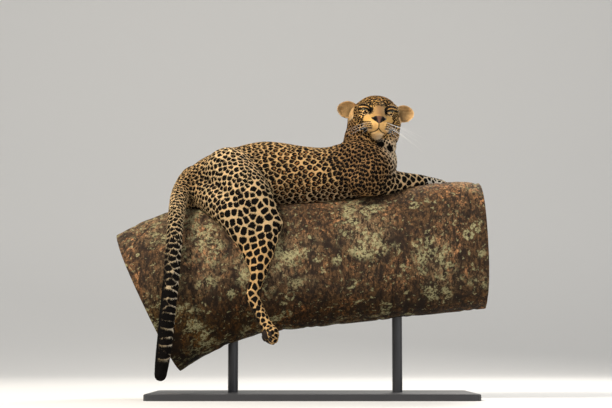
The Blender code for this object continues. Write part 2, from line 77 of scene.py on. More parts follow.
# The joints, right side towards -Y
HIP = {"right": (-0.262, -0.072, 0.708), "left": (-0.262, 0.072, 0.708)}
KNEE = {"right": (-0.130, -0.180, 0.540), "left": (-0.150, 0.190, 0.566)}
HOCK = {"right": (-0.181, -0.234, 0.314), "left": (-0.235, 0.250, 0.365)}
HIND_TOE = {"right": (-0.110, -0.240, 0.172), "left": (-0.190, 0.248, 0.220)}
SEAT_BONE = {"right": (-0.345, -0.066, 0.650), "left": (-0.345, 0.066, 0.650)}
SHOULDER = {"right": (0.205, -0.085, 0.735), "left": (0.205, 0.085, 0.735)}
ELBOW = {"right": (0.150, -0.128, 0.668), "left": (0.135, 0.140, 0.650)}
WRIST = {"right": (0.352, 0.020, 0.690), "left": (0.318, 0.158, 0.627)}
FORE_TOE = {"right": (0.442, 0.098, 0.684), "left": (0.408, 0.160, 0.634)}
SIDES = {"right": -1.0, "left": 1.0}
HIND_PAW_WIDTH = 0.090
FORE_PAW_WIDTH = 0.080

# A paw's toes: their places from side to side, the step between them as a share of the paw's width, how far a
# toe's middle lies behind its tip, and how far the outer toes are set back
TOE_PLACES = (-1.5, -0.5, 0.5, 1.5)
TOE_STEP = 0.235
TOE_REACH = 0.020
OUTER_TOE_BACK = 0.012

TAIL_RADIUS = 0.0265
TAIL = (
    (-0.330, -0.012, 0.706),
    (-0.380, -0.028, 0.692),
    (-0.402, -0.064, 0.666),
    (-0.414, -0.115, 0.630),
    (-0.417, -0.170, 0.586),
    (-0.418, -0.220, 0.528),
    (-0.420, -0.256, 0.455),
    (-0.425, -0.270, 0.370),
    (-0.433, -0.273, 0.285),
    (-0.441, -0.270, 0.200),
    (-0.449, -0.265, 0.130),
    (-0.456, -0.258, 0.078),
)
TAIL_SHARES = (1.60, 1.60, 1.34, 1.17, 1.09, 1.02, 1, 1, 1, 0.98, 0.93, 0.80)

NECK = ((0.160, 0.010, 0.735), (0.176, 0.010, 0.790), (0.184, 0.000, 0.845), (0.181, 0.006, 0.885))
NECK_RADII = (0.092, 0.084, 0.080, 0.070)

# The head's own axes are x out of the muzzle, y to the animal's left and z up
HEAD_PLACE = (0.205, -0.062, 0.878)
HEAD_PITCH = math.radians(6)
HEAD_YAW = math.radians(3)
HEAD_ROLL = math.radians(-4)
EYE = (0.0275, 0.0395, 0.022)
EYE_RADIUS = 0.0155
LID_THICKNESS = 0.0035
SLIT_HALF_WIDTH = 0.0125
SLIT_RISE = 0.0026
SLIT_DROP = 0.0020
EAR_CENTRE = (-0.046, 0.0905, 0.042)
EAR_LENGTH = 0.070
EAR_WIDTH = 0.056
EAR_CUP = 0.021
EAR_WALL = 0.0035

# The skin: how fine it is and how deep it lies under the solids' surface
BODY_VOXEL = 0.0042
HEAD_VOXEL = 0.0015
BODY_COAT_DEPTH = 0.0030
HEAD_COAT_DEPTH = 0.0012

# The view of the photograph
CAMERA_PLACE = (-0.019, -5.0, 0.15)
CAMERA_AIM = (-0.019, 0, 0.618)
CAMERA_LENS = 92.35
CAMERA_SENSOR = 36

# The studio's sky, and its lights: name, place, aim, size, power and colour
SKY_COLOUR = (0.96, 0.98, 1.0, 1)
SKY_STRENGTH = 0.46
LIGHTS = (
    ("key", (-2.6, -2.6, 3.9), (-0.15, 0, 0.6), 1.2, 290, (1.0, 0.93, 0.83)),
    ("fill", (3.2, -3.6, 1.8), (0.1, 0, 0.6), 3.0, 50, (0.95, 0.97, 1.0)),
    ("back", (1.4, 3.0, 3.2), (0.1, 0, 0.7), 1.6, 120, (1.0, 0.96, 0.90)),
)


# vectors and meshes


def unit(vectors):
    """Each vector over its own length."""
    vectors = np.asarray(vectors, float)
    length = np.linalg.norm(vectors, axis=-1, keepdims=True)
    return vectors / np.maximum(length, 1e-12)


def ramp(value, low, high):
    """Nought below low, one above high, and the smooth cubic 3t^2 - 2t^3 between."""
    t = np.clip((value - low) / (high - low), 0.0, 1.0)
    return t * t * (3 - 2 * t)


def mound(*terms, power=2):
    """One where each value is at its middle, and e to minus the sum of the powers of how many widths each is
    away from it elsewhere. A term is a value, its middle and its width."""
    return np.exp(-sum(((value - middle) / width) ** power for value, middle, width in terms))


def towards(colour, goal, share):
    """Each colour moved to the goal by its share."""
    return colour * (1 - share[:, None]) + goal * share[:, None]


def dot(a, b):
    """The dot products of two arrays of vectors."""
    return np.sum(np.asarray(a) * np.asarray(b), axis=-1)


def turns(count):
    """Angles spread evenly round a circle."""
    return np.linspace(0, 2 * math.pi, count, endpoint=False)


def at_share(start, end, share):
    """The place a share of the way from one point to another."""
    start, end = np.array(start, float), np.array(end, float)
    return start + (end - start) * share


def smooth_rows(stops, steps):
    """Rows along the curve through the stops whose slope at each is half the step from the one before to the
    one after."""
    stops = np.array(stops, float)
    ends = np.vstack([2 * stops[0] - stops[1], stops, 2 * stops[-1] - stops[-2]])
    span = np.linspace(0, len(stops) - 1, steps)
    i = np.minimum(span.astype(int), len(stops) - 2)
    t = (span - i)[:, None]
    before, start, end, after = ends[i], ends[i + 1], ends[i + 2], ends[i + 3]
    return 0.5 * (
        2 * start
        + (end - before) * t
        + (2 * before - 5 * start + 4 * end - after) * t**2
        + (3 * start - before - 3 * end + after) * t**3
    )


def grid_faces(rows, columns):
    """Quads of a grid that closes round its columns, wound so that rows that climb face outwards."""
    row, column = np.meshgrid(np.arange(rows - 1), np.arange(columns), indexing="ij")
    here = row * columns + column
    beside = row * columns + (column + 1) % columns
    return np.stack([here, beside, beside + columns, here + columns], axis=-1).reshape(-1, 4)


def merged(forms):
    """The points and faces of several forms as one mesh's."""
    starts = np.cumsum([0] + [len(points) for points, _ in forms])
    points = np.vstack([points for points, _ in forms])
    return points, np.vstack([faces + start for (_, faces), start in zip(forms, starts)])


def make_mesh(name, points, faces):
    """A mesh from an array of points and an array of faces that all have the same count of corners."""
    mesh = bpy.data.meshes.new(name)
    faces = np.asarray(faces, np.int32)
    mesh.vertices.add(len(points))
    mesh.vertices.foreach_set("co", np.asarray(points, np.float32).ravel())
    mesh.loops.add(faces.size)
    mesh.loops.foreach_set("vertex_index", faces.ravel())
    mesh.polygons.add(len(faces))
    mesh.polygons.foreach_set("loop_start", np.arange(len(faces), dtype=np.int32) * faces.shape[1])
    mesh.polygons.foreach_set("use_smooth", np.ones(len(faces), bool))
    mesh.update(calc_edges=True)
    mesh.validate()
    return mesh


def linked(name, data):
    """A new object in the scene."""
    made = bpy.data.objects.new(name, data)
    bpy.context.scene.collection.objects.link(made)
    return made


def make_piece(name, points, faces, slot, material):
    """A finished piece at the origin, riding on the one body."""
    piece = linked(name, make_mesh(name, points, faces))
    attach(piece, "root")
    piece.data.materials.append(material)
    return piece


def set_attribute(mesh, name, kind, values):
    """Writes an array to a point attribute; kind is FLOAT, FLOAT_VECTOR or FLOAT_COLOR."""
    made = mesh.attributes.new(name, kind, "POINT")
    values = np.asarray(values, np.float32)
    if kind == "FLOAT_COLOR":
        values = np.column_stack([values, np.ones(len(values), np.float32)])
    key = {"FLOAT": "value", "FLOAT_VECTOR": "vector", "FLOAT_COLOR": "color"}[kind]
    made.data.foreach_set(key, values.ravel())


def read_mesh(mesh):
    """The points and the four-cornered faces of a mesh that a voxel remesh made."""
    points = np.zeros(len(mesh.vertices) * 3, np.float32)
    mesh.vertices.foreach_get("co", points)
    corners = np.zeros(len(mesh.loops), np.int32)
    mesh.loops.foreach_get("vertex_index", corners)
    return points.reshape(-1, 3).astype(float), corners.reshape(-1, 4)


def corner_normals(points, faces):
    """A unit normal at each point: the sum of the crossed diagonals of the quads round it."""
    a, b, c, d = (points[faces[:, i]] for i in range(4))
    across = np.cross(c - a, d - b)
    total = np.zeros_like(points)
    for i in range(4):
        for axis in range(3):
            total[:, axis] += np.bincount(faces[:, i], across[:, axis], len(points))
    return unit(total)


def relaxed(points, faces, rounds):
    """Moves each point half way to the mean of the points that share a quad's edge with it."""
    start = np.concatenate([faces[:, i] for i in range(4)] + [faces[:, (i + 1) % 4] for i in range(4)])
    end = np.concatenate([faces[:, (i + 1) % 4] for i in range(4)] + [faces[:, i] for i in range(4)])
    count = np.maximum(np.bincount(start, minlength=len(points)), 1)[:, None]
    for _ in range(rounds):
        mean = np.column_stack([np.bincount(start, points[end, k], len(points)) for k in range(3)]) / count
        points = points + 0.5 * (mean - points)
    return points


# forms of the masses


def egg(centre, radii, along=(1, 0, 0), up=(0, 0, 1), columns=28, rows=18):
    """An ellipsoid: the unit sphere at longitude and latitude, stretched by three radii along three axes."""
    x = unit(along)
    y = np.cross(up, x)
    y = np.array([0.0, 1.0, 0.0]) if np.linalg.norm(y) < 1e-4 else unit(y)
    axes = np.stack([x, y, np.cross(x, y)])
    turn, climb = np.meshgrid(turns(columns), np.linspace(-math.pi / 2 + 1e-3, math.pi / 2 - 1e-3, rows))
    ball = np.stack([np.cos(climb) * np.cos(turn), np.cos(climb) * np.sin(turn), np.sin(climb)], axis=-1)
    points = (ball.reshape(-1, 3) * radii) @ axes + np.array(centre)
    return points, capped(grid_faces(rows, columns), rows, columns)


def capped(faces, rows, columns):
    """Closes the first and last rings of a grid with quads folded across each ring."""
    half = np.arange(columns // 2 - 1)
    first = np.stack([half, columns - 1 - half, columns - 2 - half, half + 1], axis=-1)
    last = first[:, ::-1] + (rows - 1) * columns
    return np.vstack([faces, first, last])


def carried_ring(line, radii, columns):
    """Rings of a circle carried along a line, each square to it, with no twist from one to the next."""
    heading = unit(np.gradient(line, axis=0))
    side = np.cross(heading[0], (0.31, 0.87, 0.38))
    rings = []
    around = turns(columns)[:, None]
    for place, ahead, radius in zip(line, heading, radii):
        side = unit(side - ahead * dot(side, ahead))
        up = np.cross(ahead, side)
        rings.append(place + radius * (np.cos(around) * side + np.sin(around) * up))
    return np.concatenate(rings)


def limb(points, radii, columns=20, per_span=7):
    """A tapered limb: a circle carried along the smooth curve through the points, shrinking at both ends as a
    ball does, by the cosine of an angle that runs to a right angle."""
    rows = smooth_rows([(*point, radius) for point, radius in zip(points, radii)], per_span * len(points))
    heading = unit(np.gradient(rows[:, :3], axis=0))
    angle = np.linspace(math.pi / 2 - 0.05, 0.35, 5)[:, None]
    first = np.hstack([rows[0, :3] - heading[0] * rows[0, 3] * np.sin(angle), rows[0, 3] * np.cos(angle)])
    angle = angle[::-1]
    last = np.hstack([rows[-1, :3] + heading[-1] * rows[-1, 3] * np.sin(angle), rows[-1, 3] * np.cos(angle)])
    rows = np.vstack([first, rows, last])
    points = carried_ring(rows[:, :3], rows[:, 3], columns)
    return points, capped(grid_faces(len(rows), columns), len(rows), columns)


def trunk():
    """Egg-shaped sections carried along X: the width is the half width times the cosine round the section,
    less a share of it towards the spine, and the height is the sine between bottom and top."""
    rows = smooth_rows(TRUNK, 3 * len(TRUNK))
    around = turns(40)
    station, half, top, bottom = (rows[:, i : i + 1] for i in range(4))
    wide = half * np.cos(around) * (1 - 0.13 * np.sin(around))
    high = (top + bottom) / 2 + (top - bottom) / 2 * np.sin(around)
    points = np.stack([np.broadcast_to(station, wide.shape), wide, high], axis=-1).reshape(-1, 3)
    return points, capped(grid_faces(len(rows), 40), len(rows), 40)


def fused(name, forms, voxel, smoothing):
    """One skin from overlapping closed forms: joined, remeshed in voxels and smoothed."""
    rough = linked(name, make_mesh(name, *merged(forms)))
    remesh = rough.modifiers.new("voxels", "REMESH")
    remesh.mode = "VOXEL"
    remesh.voxel_size = voxel
    smooth = rough.modifiers.new("smooth", "SMOOTH")
    smooth.factor = 0.5
    smooth.iterations = smoothing
    graph = bpy.context.evaluated_depsgraph_get()
    made = bpy.data.meshes.new_from_object(rough.evaluated_get(graph))
    bpy.data.objects.remove(rough)
    return largest(*read_mesh(made))


def largest(points, faces):
    """Keeps the largest of the separate surfaces, found by spreading the lowest label along the edges."""
    label = np.arange(len(points))
    for _ in range(4000):
        low = label[faces].min(axis=1)
        fresh = label.copy()
        for i in range(4):
            np.minimum.at(fresh, faces[:, i], low)
        fresh = fresh[fresh]
        if (fresh == label).all():
            break
        label = fresh
    keep = label == np.bincount(label).argmax()
    place = np.cumsum(keep) - 1
    return points[keep], place[faces[keep[faces[:, 0]]]]


# the leopard's masses


def joints(side, *places):
    """The places of a side's joints."""
    return [np.array(place[side]) for place in places]


def hind_foot(side):
    """Where the hind paw starts, its middle toe's tip, the way its top faces, and its width."""
    hock, toe = joints(side, HOCK, HIND_TOE)
    return at_share(hock, toe, 0.52), toe, (1, -0.45 * SIDES[side], 0.45), HIND_PAW_WIDTH


def fore_foot(side):
    """The same for the fore paw."""
    wrist, toe = joints(side, WRIST, FORE_TOE)
    return at_share(wrist, toe, 0.1), toe, (0, 0.1 * SIDES[side], 1), FORE_PAW_WIDTH


def paw_axes(ankle, toe, up):
    """Ahead, across and up, each square to the others, and how far the toe is."""
    ahead = unit(toe - ankle)
    across = unit(np.cross(up, ahead))
    return ahead, across, np.cross(ahead, across), np.linalg.norm(toe - ankle)


def toe_middles(ankle, ahead, across, reach, width):
    """The middles of the four toes side by side, the outer two set back."""
    backs = [OUTER_TOE_BACK if abs(place) > 1 else 0.0 for place in TOE_PLACES]
    return [
        ankle + ahead * (reach - TOE_REACH - back) + across * place * width * TOE_STEP
        for place, back in zip(TOE_PLACES, backs)
    ]


def paw(ankle, toe, up, width):
    """A palm and four toes, each an egg."""
    ahead, across, up, reach = paw_axes(ankle, toe, up)
    forms = [egg(ankle + ahead * reach * 0.60, (reach * 0.34, width * 0.42, width * 0.28), ahead, up)]
    for middle in toe_middles(ankle, ahead, across, reach, width):
        forms.append(egg(middle - up * 0.002, (0.024, width * 0.135, width * 0.20), ahead - up * 0.15, up))
    return forms


def hind_leg(side):
    """The thigh, ham, calf, shin, heel tendon, foot and paw."""
    hip, knee, hock, toe, seat = joints(side, HIP, KNEE, HOCK, HIND_TOE, SEAT_BONE)
    out = np.array([0, SIDES[side], 0])
    calf = at_share(knee, hock, 0.28) + (-0.048, 0, 0)
    heel = hock + (-0.012, 0, 0.004)
    low = at_share(knee, hock, 0.7) + (-0.008, 0, 0)
    ham = at_share(seat, calf, 0.5) + out * 0.022 + (0.012, 0, 0.020)
    return [
        limb((hip, at_share(hip, knee, 0.5) + out * 0.014, knee), (0.086, 0.077, 0.043)),
        limb((seat, ham, calf), (0.050, 0.056, 0.036)),
        limb((at_share(hip, knee, 0.55), calf), (0.066, 0.036)),
        limb((knee, at_share(knee, hock, 0.45), hock), (0.040, 0.034, 0.0165)),
        limb((calf, low, heel), (0.036, 0.018, 0.012)),
        limb(
            (hock, at_share(hock, toe, 0.45) + (-0.004, 0, 0), at_share(hock, toe, 0.78)),
            (0.0215, 0.0230, 0.0260),
        ),
        *paw(*hind_foot(side)),
    ]


def foreleg(side):
    """The shoulder blade, upper arm, elbow, forearm, wrist and paw."""
    shoulder, elbow, wrist, toe = joints(side, SHOULDER, ELBOW, WRIST, FORE_TOE)
    out = np.array([0, SIDES[side], 0])
    blade = np.array([0.120, shoulder[1] * 0.62, 0.775])
    near = at_share(elbow, wrist, 0.3) + (0, 0, 0.004)
    far = at_share(elbow, wrist, 0.7) + (0, 0, 0.002)
    return [
        limb((blade, at_share(blade, shoulder, 0.6) + out * 0.012, shoulder), (0.045, 0.058, 0.056)),
        limb((shoulder, at_share(shoulder, elbow, 0.5) + out * 0.010, elbow), (0.058, 0.052, 0.036)),
        limb((blade + (-0.010, 0, -0.040), elbow), (0.048, 0.034)),
        limb((elbow, near, far, wrist), (0.040, 0.047, 0.0345, 0.0270)),
        limb((wrist, at_share(wrist, toe, 0.6)), (0.0260, 0.0235)),
        *paw(*fore_foot(side)),
    ]


def body_forms():
    """The body's masses: the trunk, neck and tail, and eggs where the muscles round them out."""
    breast = egg((0.213, -0.012, 0.752), (0.062, 0.078, 0.075))
    throat = egg((0.195, -0.050, 0.800), (0.060, 0.048, 0.076), along=(0, 0, 1))
    seat = egg((-0.362, 0.000, 0.612), (0.050, 0.072, 0.045))
    nape = egg((0.150, 0.000, 0.800), (0.055, 0.060, 0.050))
    buttocks = [egg((-0.352, across, 0.640), (0.042, 0.048, 0.048)) for across in (-0.050, 0.050)]
    withers = egg((0.105, 0.0, 0.772), (0.070, 0.060, 0.042))
    loin = egg((-0.225, 0.0, 0.758), (0.092, 0.070, 0.046))
    croup = egg((-0.368, -0.010, 0.700), (0.056, 0.050, 0.044))
    tail_root = limb(
        ((-0.300, -0.050, 0.722), (-0.350, -0.058, 0.698), (-0.392, -0.062, 0.664)), (0.055, 0.048, 0.038)
    )
    tail = limb(TAIL, [TAIL_RADIUS * share for share in TAIL_SHARES])
    forms = [
        trunk(), limb(NECK, NECK_RADII), tail, breast, throat, seat, nape, *buttocks, withers, loin, croup,
        tail_root,
    ]
    for side in SIDES:
        forms += hind_leg(side) + foreleg(side)
    return forms


def turn_about(axis, angle):
    """The rotation about one of the axes x, y and z, numbered from nought."""
    c, s = math.cos(angle), math.sin(angle)
    i, j = [(1, 2), (2, 0), (0, 1)][axis]
    made = np.eye(3)
    made[i, i] = made[j, j] = c
    made[i, j], made[j, i] = -s, s
    return made


YAWED = turn_about(2, -math.pi / 2 + HEAD_YAW)
HEAD_TURN = YAWED @ turn_about(1, -HEAD_PITCH) @ turn_about(0, HEAD_ROLL)


def head_to_world(points):
    """From the head's own frame to the solids'."""
    return np.asarray(points) @ HEAD_TURN.T + HEAD_PLACE


def world_to_head(points):
    """From the solids' frame to the head's own."""
    return (np.asarray(points) - HEAD_PLACE) @ HEAD_TURN


def mirrored(points, out):
    """Points of the left side, or the same on the right."""
    return np.array(points, float) * (1, out, 1)


def ear_axes(out):
    """Outwards along the ear, up across it, and out of its cup."""
    outward = unit((-0.20, 0.93 * out, 0.20))
    upward = unit(np.cross((0.94, 0.28 * out, -0.02), outward))
    return outward, upward, unit(np.cross(outward, upward))


def ear(out):
    """A cup with a wall: half an ellipsoid from its deepest point out to the rim, and back down a smaller
    one. The width narrows with the square of the way to the tip."""
    columns, rows = 36, 14
    climb = np.linspace(0.03, math.pi / 2, rows)
    wall = np.concatenate([np.full(rows, EAR_WALL / 2), np.full(rows, -EAR_WALL / 2)])
    climb = np.concatenate([climb, climb[::-1]])[:, None]
    around = turns(columns)[None, :]
    along = np.sin(climb) * np.cos(around)
    across = np.sin(climb) * np.sin(around) * (1 - 0.16 * np.maximum(0, along) ** 2)
    deep = -np.cos(climb) * np.ones_like(around)
    size = [EAR_LENGTH / 2 + wall[:, None], EAR_WIDTH / 2 + wall[:, None], EAR_CUP + wall[:, None]]
    local = np.stack([along * size[0], across * size[1], deep * size[2]], axis=-1).reshape(-1, 3)
    points = local @ np.stack(ear_axes(out)) + mirrored(EAR_CENTRE, out)
    faces = capped(grid_faces(2 * rows, columns), 2 * rows, columns)
    return points, faces


def head_forms():
    """The head's masses in its own frame."""
    crown = egg((-0.042, 0, 0.033), (0.060, 0.073, 0.057))
    forehead = egg((-0.012, 0, 0.040), (0.046, 0.064, 0.045))
    brow = egg((0.010, 0, 0.040), (0.030, 0.040, 0.030), along=(1, 0, -0.5))
    gullet = egg((-0.008, 0, -0.044), (0.052, 0.048, 0.030))
    nape = egg((-0.050, 0, -0.020), (0.052, 0.062, 0.060))
    snout = limb(((0.010, 0, -0.010), (0.050, 0, -0.022), (0.080, 0, -0.034)), (0.042, 0.036, 0.026))
    bridge = limb(((0.018, 0, 0.040), (0.050, 0, 0.018), (0.089, 0, -0.013)), (0.028, 0.0220, 0.0175))
    nose = egg((0.0935, 0, -0.019), (0.0100, 0.0215, 0.0130))
    lip = limb(((0.080, 0, -0.022), (0.084, 0, -0.040)), (0.018, 0.014))
    jaw = limb(((0.000, 0, -0.050), (0.060, 0, -0.0550)), (0.031, 0.0160))
    chin = egg((0.0690, 0, -0.0575), (0.0205, 0.0230, 0.0125))
    forms = [crown, forehead, brow, gullet, nape, snout, bridge, nose, lip, jaw, chin]
    for out in (-1, 1):
        cheek = egg((-0.014, out * 0.043, -0.012), (0.048, 0.036, 0.046))
        jowl = egg((-0.036, out * 0.047, -0.028), (0.042, 0.033, 0.046))
        temple = egg((-0.052, out * 0.044, 0.008), (0.044, 0.040, 0.044))
        cheekbone = egg((0.018, out * 0.044, -0.006), (0.032, 0.024, 0.024))
        brow_ridge = egg((0.008, out * 0.040, 0.030), (0.034, 0.028, 0.024), along=(1, 0.2 * out, -0.2))
        ear_root = egg((-0.022, out * 0.046, 0.028), (0.045, 0.029, 0.038))
        side_of_snout = limb(((0.012, out * 0.034, -0.004), (0.072, out * 0.018, -0.026)), (0.029, 0.020))
        whisker_pad = egg(
            (0.0730, out * 0.0210, -0.0385), (0.0265, 0.0220, 0.0180), along=(1, -0.25 * out, 0)
        )
        pad_back = egg((0.0520, out * 0.0310, -0.0370), (0.0260, 0.0180, 0.0190))
        lids = egg(eye_centre(out), (EYE_RADIUS + LID_THICKNESS,) * 3)
        forms += [
            cheek, jowl, temple, cheekbone, brow_ridge, ear_root, side_of_snout, whisker_pad, pad_back, lids,
            ear(out),
        ]
    return forms


# lines of the face, in the head's own frame


MOUTH = (
    (0.0970, 0.0005, -0.0500),
    (0.0930, 0.0080, -0.0560),
    (0.0840, 0.0180, -0.0585),
    (0.0740, 0.0280, -0.0560),
    (0.0660, 0.0370, -0.0512),
    (0.0600, 0.0430, -0.0475),
)
PHILTRUM = ((0.1040, 0, -0.0300), (0.1020, 0, -0.0400), (0.0975, 0, -0.0500))
NOSTRIL = (0.1020, 0.0130, -0.0225)
NOSTRIL_SIZE = (0.0075, 0.0052, 0.0034)
NOSTRIL_SINK = (0.0060, 0.0015, 0.0)
NOSE_WING = (0.0960, 0.0200, -0.0240)
NOSE_WING_SIZE = (0.006, 0.0025, 0.006)
NOSE_TIP = (0.112, 0, -0.022)

# How deep the skin is sunk along each line of the face, and over how wide a band
CREASE_DEPTH, CREASE_BAND = 0.0012, 0.0013
MOUTH_DEPTH, MOUTH_BAND = 0.0030, 0.0016
WING_DEPTH = 0.0012
PHILTRUM_DEPTH, PHILTRUM_BAND = 0.0018, 0.0012


def eye_axes(out):
    """Out of the eye, towards its outer corner, and up; the inner corner is the lower."""
    gaze = unit((1, 0.30 * out, 0.02))
    corner = unit(np.cross((0, 0, 1), gaze)) * out
    corner = unit(corner + 0.16 * np.array((0, 0, 1)))
    up = unit(np.cross(gaze, corner) * out)
    return gaze, corner, up


def eye_centre(out):
    """The middle of the eyeball."""
    return mirrored(EYE, out)


def line_distance(points, line):
    """How far each point is from a line of straight pieces, and how far along the line the nearest place is,
    from nought to one."""
    line = np.asarray(line, float)
    best = np.full(len(points), 1e9)
    share = np.zeros(len(points))
    for i, (start, end) in enumerate(zip(line[:-1], line[1:])):
        along = end - start
        t = np.clip(dot(points - start, along) / max(dot(along, along), 1e-12), 0, 1)
        away = np.linalg.norm(points - start - t[:, None] * along, axis=1)
        nearer = away < best
        best[nearer] = away[nearer]
        share[nearer] = ((i + t) / (len(line) - 1))[nearer]
    return best, share


def slit_outline(out, steps=40):
    """The edge of the open eye: an almond that is wider than it is high, with pointed ends, drawn on a sphere
    a little larger than the eye."""
    gaze, corner, up = eye_axes(out)
    turn = turns(steps)
    across = np.cos(turn) * SLIT_HALF_WIDTH
    rise = np.sin(turn) * np.abs(np.sin(turn)) ** 0.35
    high = np.where(rise > 0, SLIT_RISE * rise, SLIT_DROP * rise)
    depth = np.sqrt(np.maximum((EYE_RADIUS + 0.0014) ** 2 - across**2 - high**2, 1e-6))
    flat = across[:, None] * corner + high[:, None] * up + depth[:, None] * gaze
    return eye_centre(out) + flat


# the coat: regions of the body, each with its own lie, length and spots


OCHRE = np.array((0.320, 0.180, 0.072))
GOLD = np.array((0.585, 0.375, 0.165))
STRAW = np.array((0.750, 0.545, 0.295))
AMBER = np.array((0.690, 0.410, 0.130))
CREAM = np.array((0.720, 0.560, 0.340))
WHITE = np.array((0.800, 0.730, 0.600))
BREAST_CREAM = np.array((0.86, 0.69, 0.47))
MUZZLE_GOLD = np.array((0.72, 0.44, 0.165))
BRIDGE_BROWN = np.array((0.235, 0.130, 0.066))
RUST_TINT = np.array((0.66, 0.54, 0.44))

# The two black blotches on the throat: place, half width and half height
THROAT_BLOTCHES = (
    ((0.2170, -0.110, 0.800), 0.0130, 0.0100),
    ((0.2480, -0.085, 0.790), 0.0100, 0.0120),
)

# Each kind of coat: how far the region reaches from its axis, the size of a spot's cell, how much longer a
# cell is along the lie than across it, how wide the ground is between spots as a share of a cell, how solid
# the spots are, the tufts' length and width, and the ground's colour
PATTERNS = {
    "flank": (0.100, 0.0176, 1.10, 0.028, 0.52, 0.0078, 0.0018, GOLD),
    "spine": (0.036, 0.0128, 1.60, 0.015, 1.0, 0.0080, 0.0018, GOLD * 0.94),
    "hips": (0.105, 0.0132, 1.40, 0.018, 1.0, 0.0080, 0.0018, GOLD * 1.05),
    "chest": (0.095, 0.0126, 1.15, -0.022, 1.0, 0.0080, 0.0018, OCHRE * 1.15),
    "neck": (0.078, 0.0108, 1.15, -0.022, 1.0, 0.0075, 0.0016, OCHRE * 1.20),
    "head": (0.052, 0.0086, 1.10, 0.008, 1.0, 0.0050, 0.0011, AMBER),
    "haunch": (0.080, 0.0172, 1.10, 0.045, 0.70, 0.0078, 0.0018, STRAW),
    "thigh": (0.060, 0.0258, 1.0, 0.075, 1.0, 0.0074, 0.0018, STRAW * 0.92),
    "shank": (0.026, 0.0245, 1.15, 0.095, 1.0, 0.0062, 0.0015, GOLD * 1.05),
    "foot": (0.020, 0.0150, 1.1, 0.100, 1.0, 0.0042, 0.0011, GOLD),
    "shoulder": (0.060, 0.0126, 1.1, -0.022, 1.0, 0.0076, 0.0018, OCHRE * 1.20),
    # painted light: the forearm's ground is made paler to lift the shade that falls on it
    "forearm": (0.034, 0.0225, 1.1, 0.085, 1.0, 0.0062, 0.0015, STRAW * 1.10),
    "paw": (0.024, 0.0125, 1.1, 0.100, 1.0, 0.0042, 0.0011, STRAW),
}
PATTERN_KEYS = ("radius", "cell", "stretch", "gap", "solid", "length", "width", "ground")

# The tail from its root to its tip: the first and last of TAIL's places, then cell, stretch, gap and ground.
# Its spots run together into bars lower down.
TAIL_PATTERNS = (
    (0, 3, 0.0130, 1.10, 0.015, GOLD),
    (3, 5, 0.0132, 0.95, 0.012, STRAW),
    (5, 6, 0.0190, 0.80, -0.010, STRAW),
    (6, 7, 0.0240, 0.72, -0.030, CREAM * 0.85),
    (7, 8, 0.0300, 0.60, -0.036, CREAM * 0.75),
    (8, 9, 0.0360, 0.52, -0.040, CREAM * 0.65),
    (9, 11, 0.0440, 0.45, -0.042, CREAM * 0.6),
)
TAIL_TUFT = (0.0085, 0.0018)


def coat_regions():
    """A list of regions, each with a name, an axis from start to end, the lie of its coat and its pattern."""
    regions = []

    def add(name, start, end, lie, pattern=None):
        pattern = pattern or PATTERNS[name.split("_")[0]]
        axis = dict(name=name, start=np.array(start, float), end=np.array(end, float), lie=unit(lie))
        regions.append(axis | dict(zip(PATTERN_KEYS, pattern)))

    add("flank", (-0.16, 0, 0.69), (0.06, 0, 0.69), (-1, 0, -0.30))
    add("spine", (-0.30, 0, 0.78), (0.10, 0, 0.775), (-1, 0, -0.10))
    add("hips", (-0.34, 0, 0.70), (-0.22, 0, 0.705), (-1, 0, -0.35))
    add("chest", (0.12, 0, 0.72), (0.20, 0, 0.72), (-1, 0, -0.55))
    add("neck", (0.165, 0, 0.79), (0.184, 0, 0.87), (-0.35, 0.0, -1))
    add("head", (0.205, -0.02, 0.88), (0.207, -0.11, 0.875), (0, 1, 0.3))
    for side in SIDES:
        hip, knee, hock, toe = joints(side, HIP, KNEE, HOCK, HIND_TOE)
        add("haunch_" + side, hip, at_share(hip, knee, 0.45), (-0.55, 0, -1))
        add("thigh_" + side, at_share(hip, knee, 0.7), knee, (-0.40, 0, -1))
        add("shank_" + side, at_share(knee, hock, 0.25), hock, hock - knee)
        add("foot_" + side, at_share(hock, toe, 0.25), toe, toe - hock)
        shoulder, elbow, wrist, tip = joints(side, SHOULDER, ELBOW, WRIST, FORE_TOE)
        blade = shoulder + (-0.06, 0, 0.02)
        add("shoulder_" + side, blade, at_share(shoulder, elbow, 0.5), (-0.45, 0, -1))
        add("forearm_" + side, at_share(elbow, wrist, 0.35), wrist, wrist - elbow)
        add("paw_" + side, wrist, tip, tip - wrist)
    for i, (low, high, cell, stretch, gap, ground) in enumerate(TAIL_PATTERNS):
        start, end = np.array(TAIL[low]), np.array(TAIL[high])
        pattern = (TAIL_RADIUS, cell, stretch, gap, 1.0, *TAIL_TUFT, ground)
        add(f"tail_{i}", start, end, end - start, pattern)
    return regions


REGIONS = coat_regions()


# Over how far one region's coat fades into the next
REGION_FADE = 0.011


def region_shares(points):
    """How much each region counts at each point: the exponential of minus its distance over the fade, where
    the distance is from the region's axis less its radius, made to add up to one."""
    away = np.stack(
        [line_distance(points, (r["start"], r["end"]))[0] - r["radius"] for r in REGIONS], axis=1
    )
    shares = np.exp(-(away - away.min(axis=1, keepdims=True)) / REGION_FADE)
    return shares / shares.sum(axis=1, keepdims=True)


def blend(shares, key):
    """The regions' values of one kind, each counted by its share."""
    values = np.array([region[key] for region in REGIONS], float)
    return shares @ values


def share_of(shares, *starts):
    """How much the regions count whose names start in one of the given ways."""
    return sum(shares[:, i] for i, r in enumerate(REGIONS) if r["name"].startswith(starts))


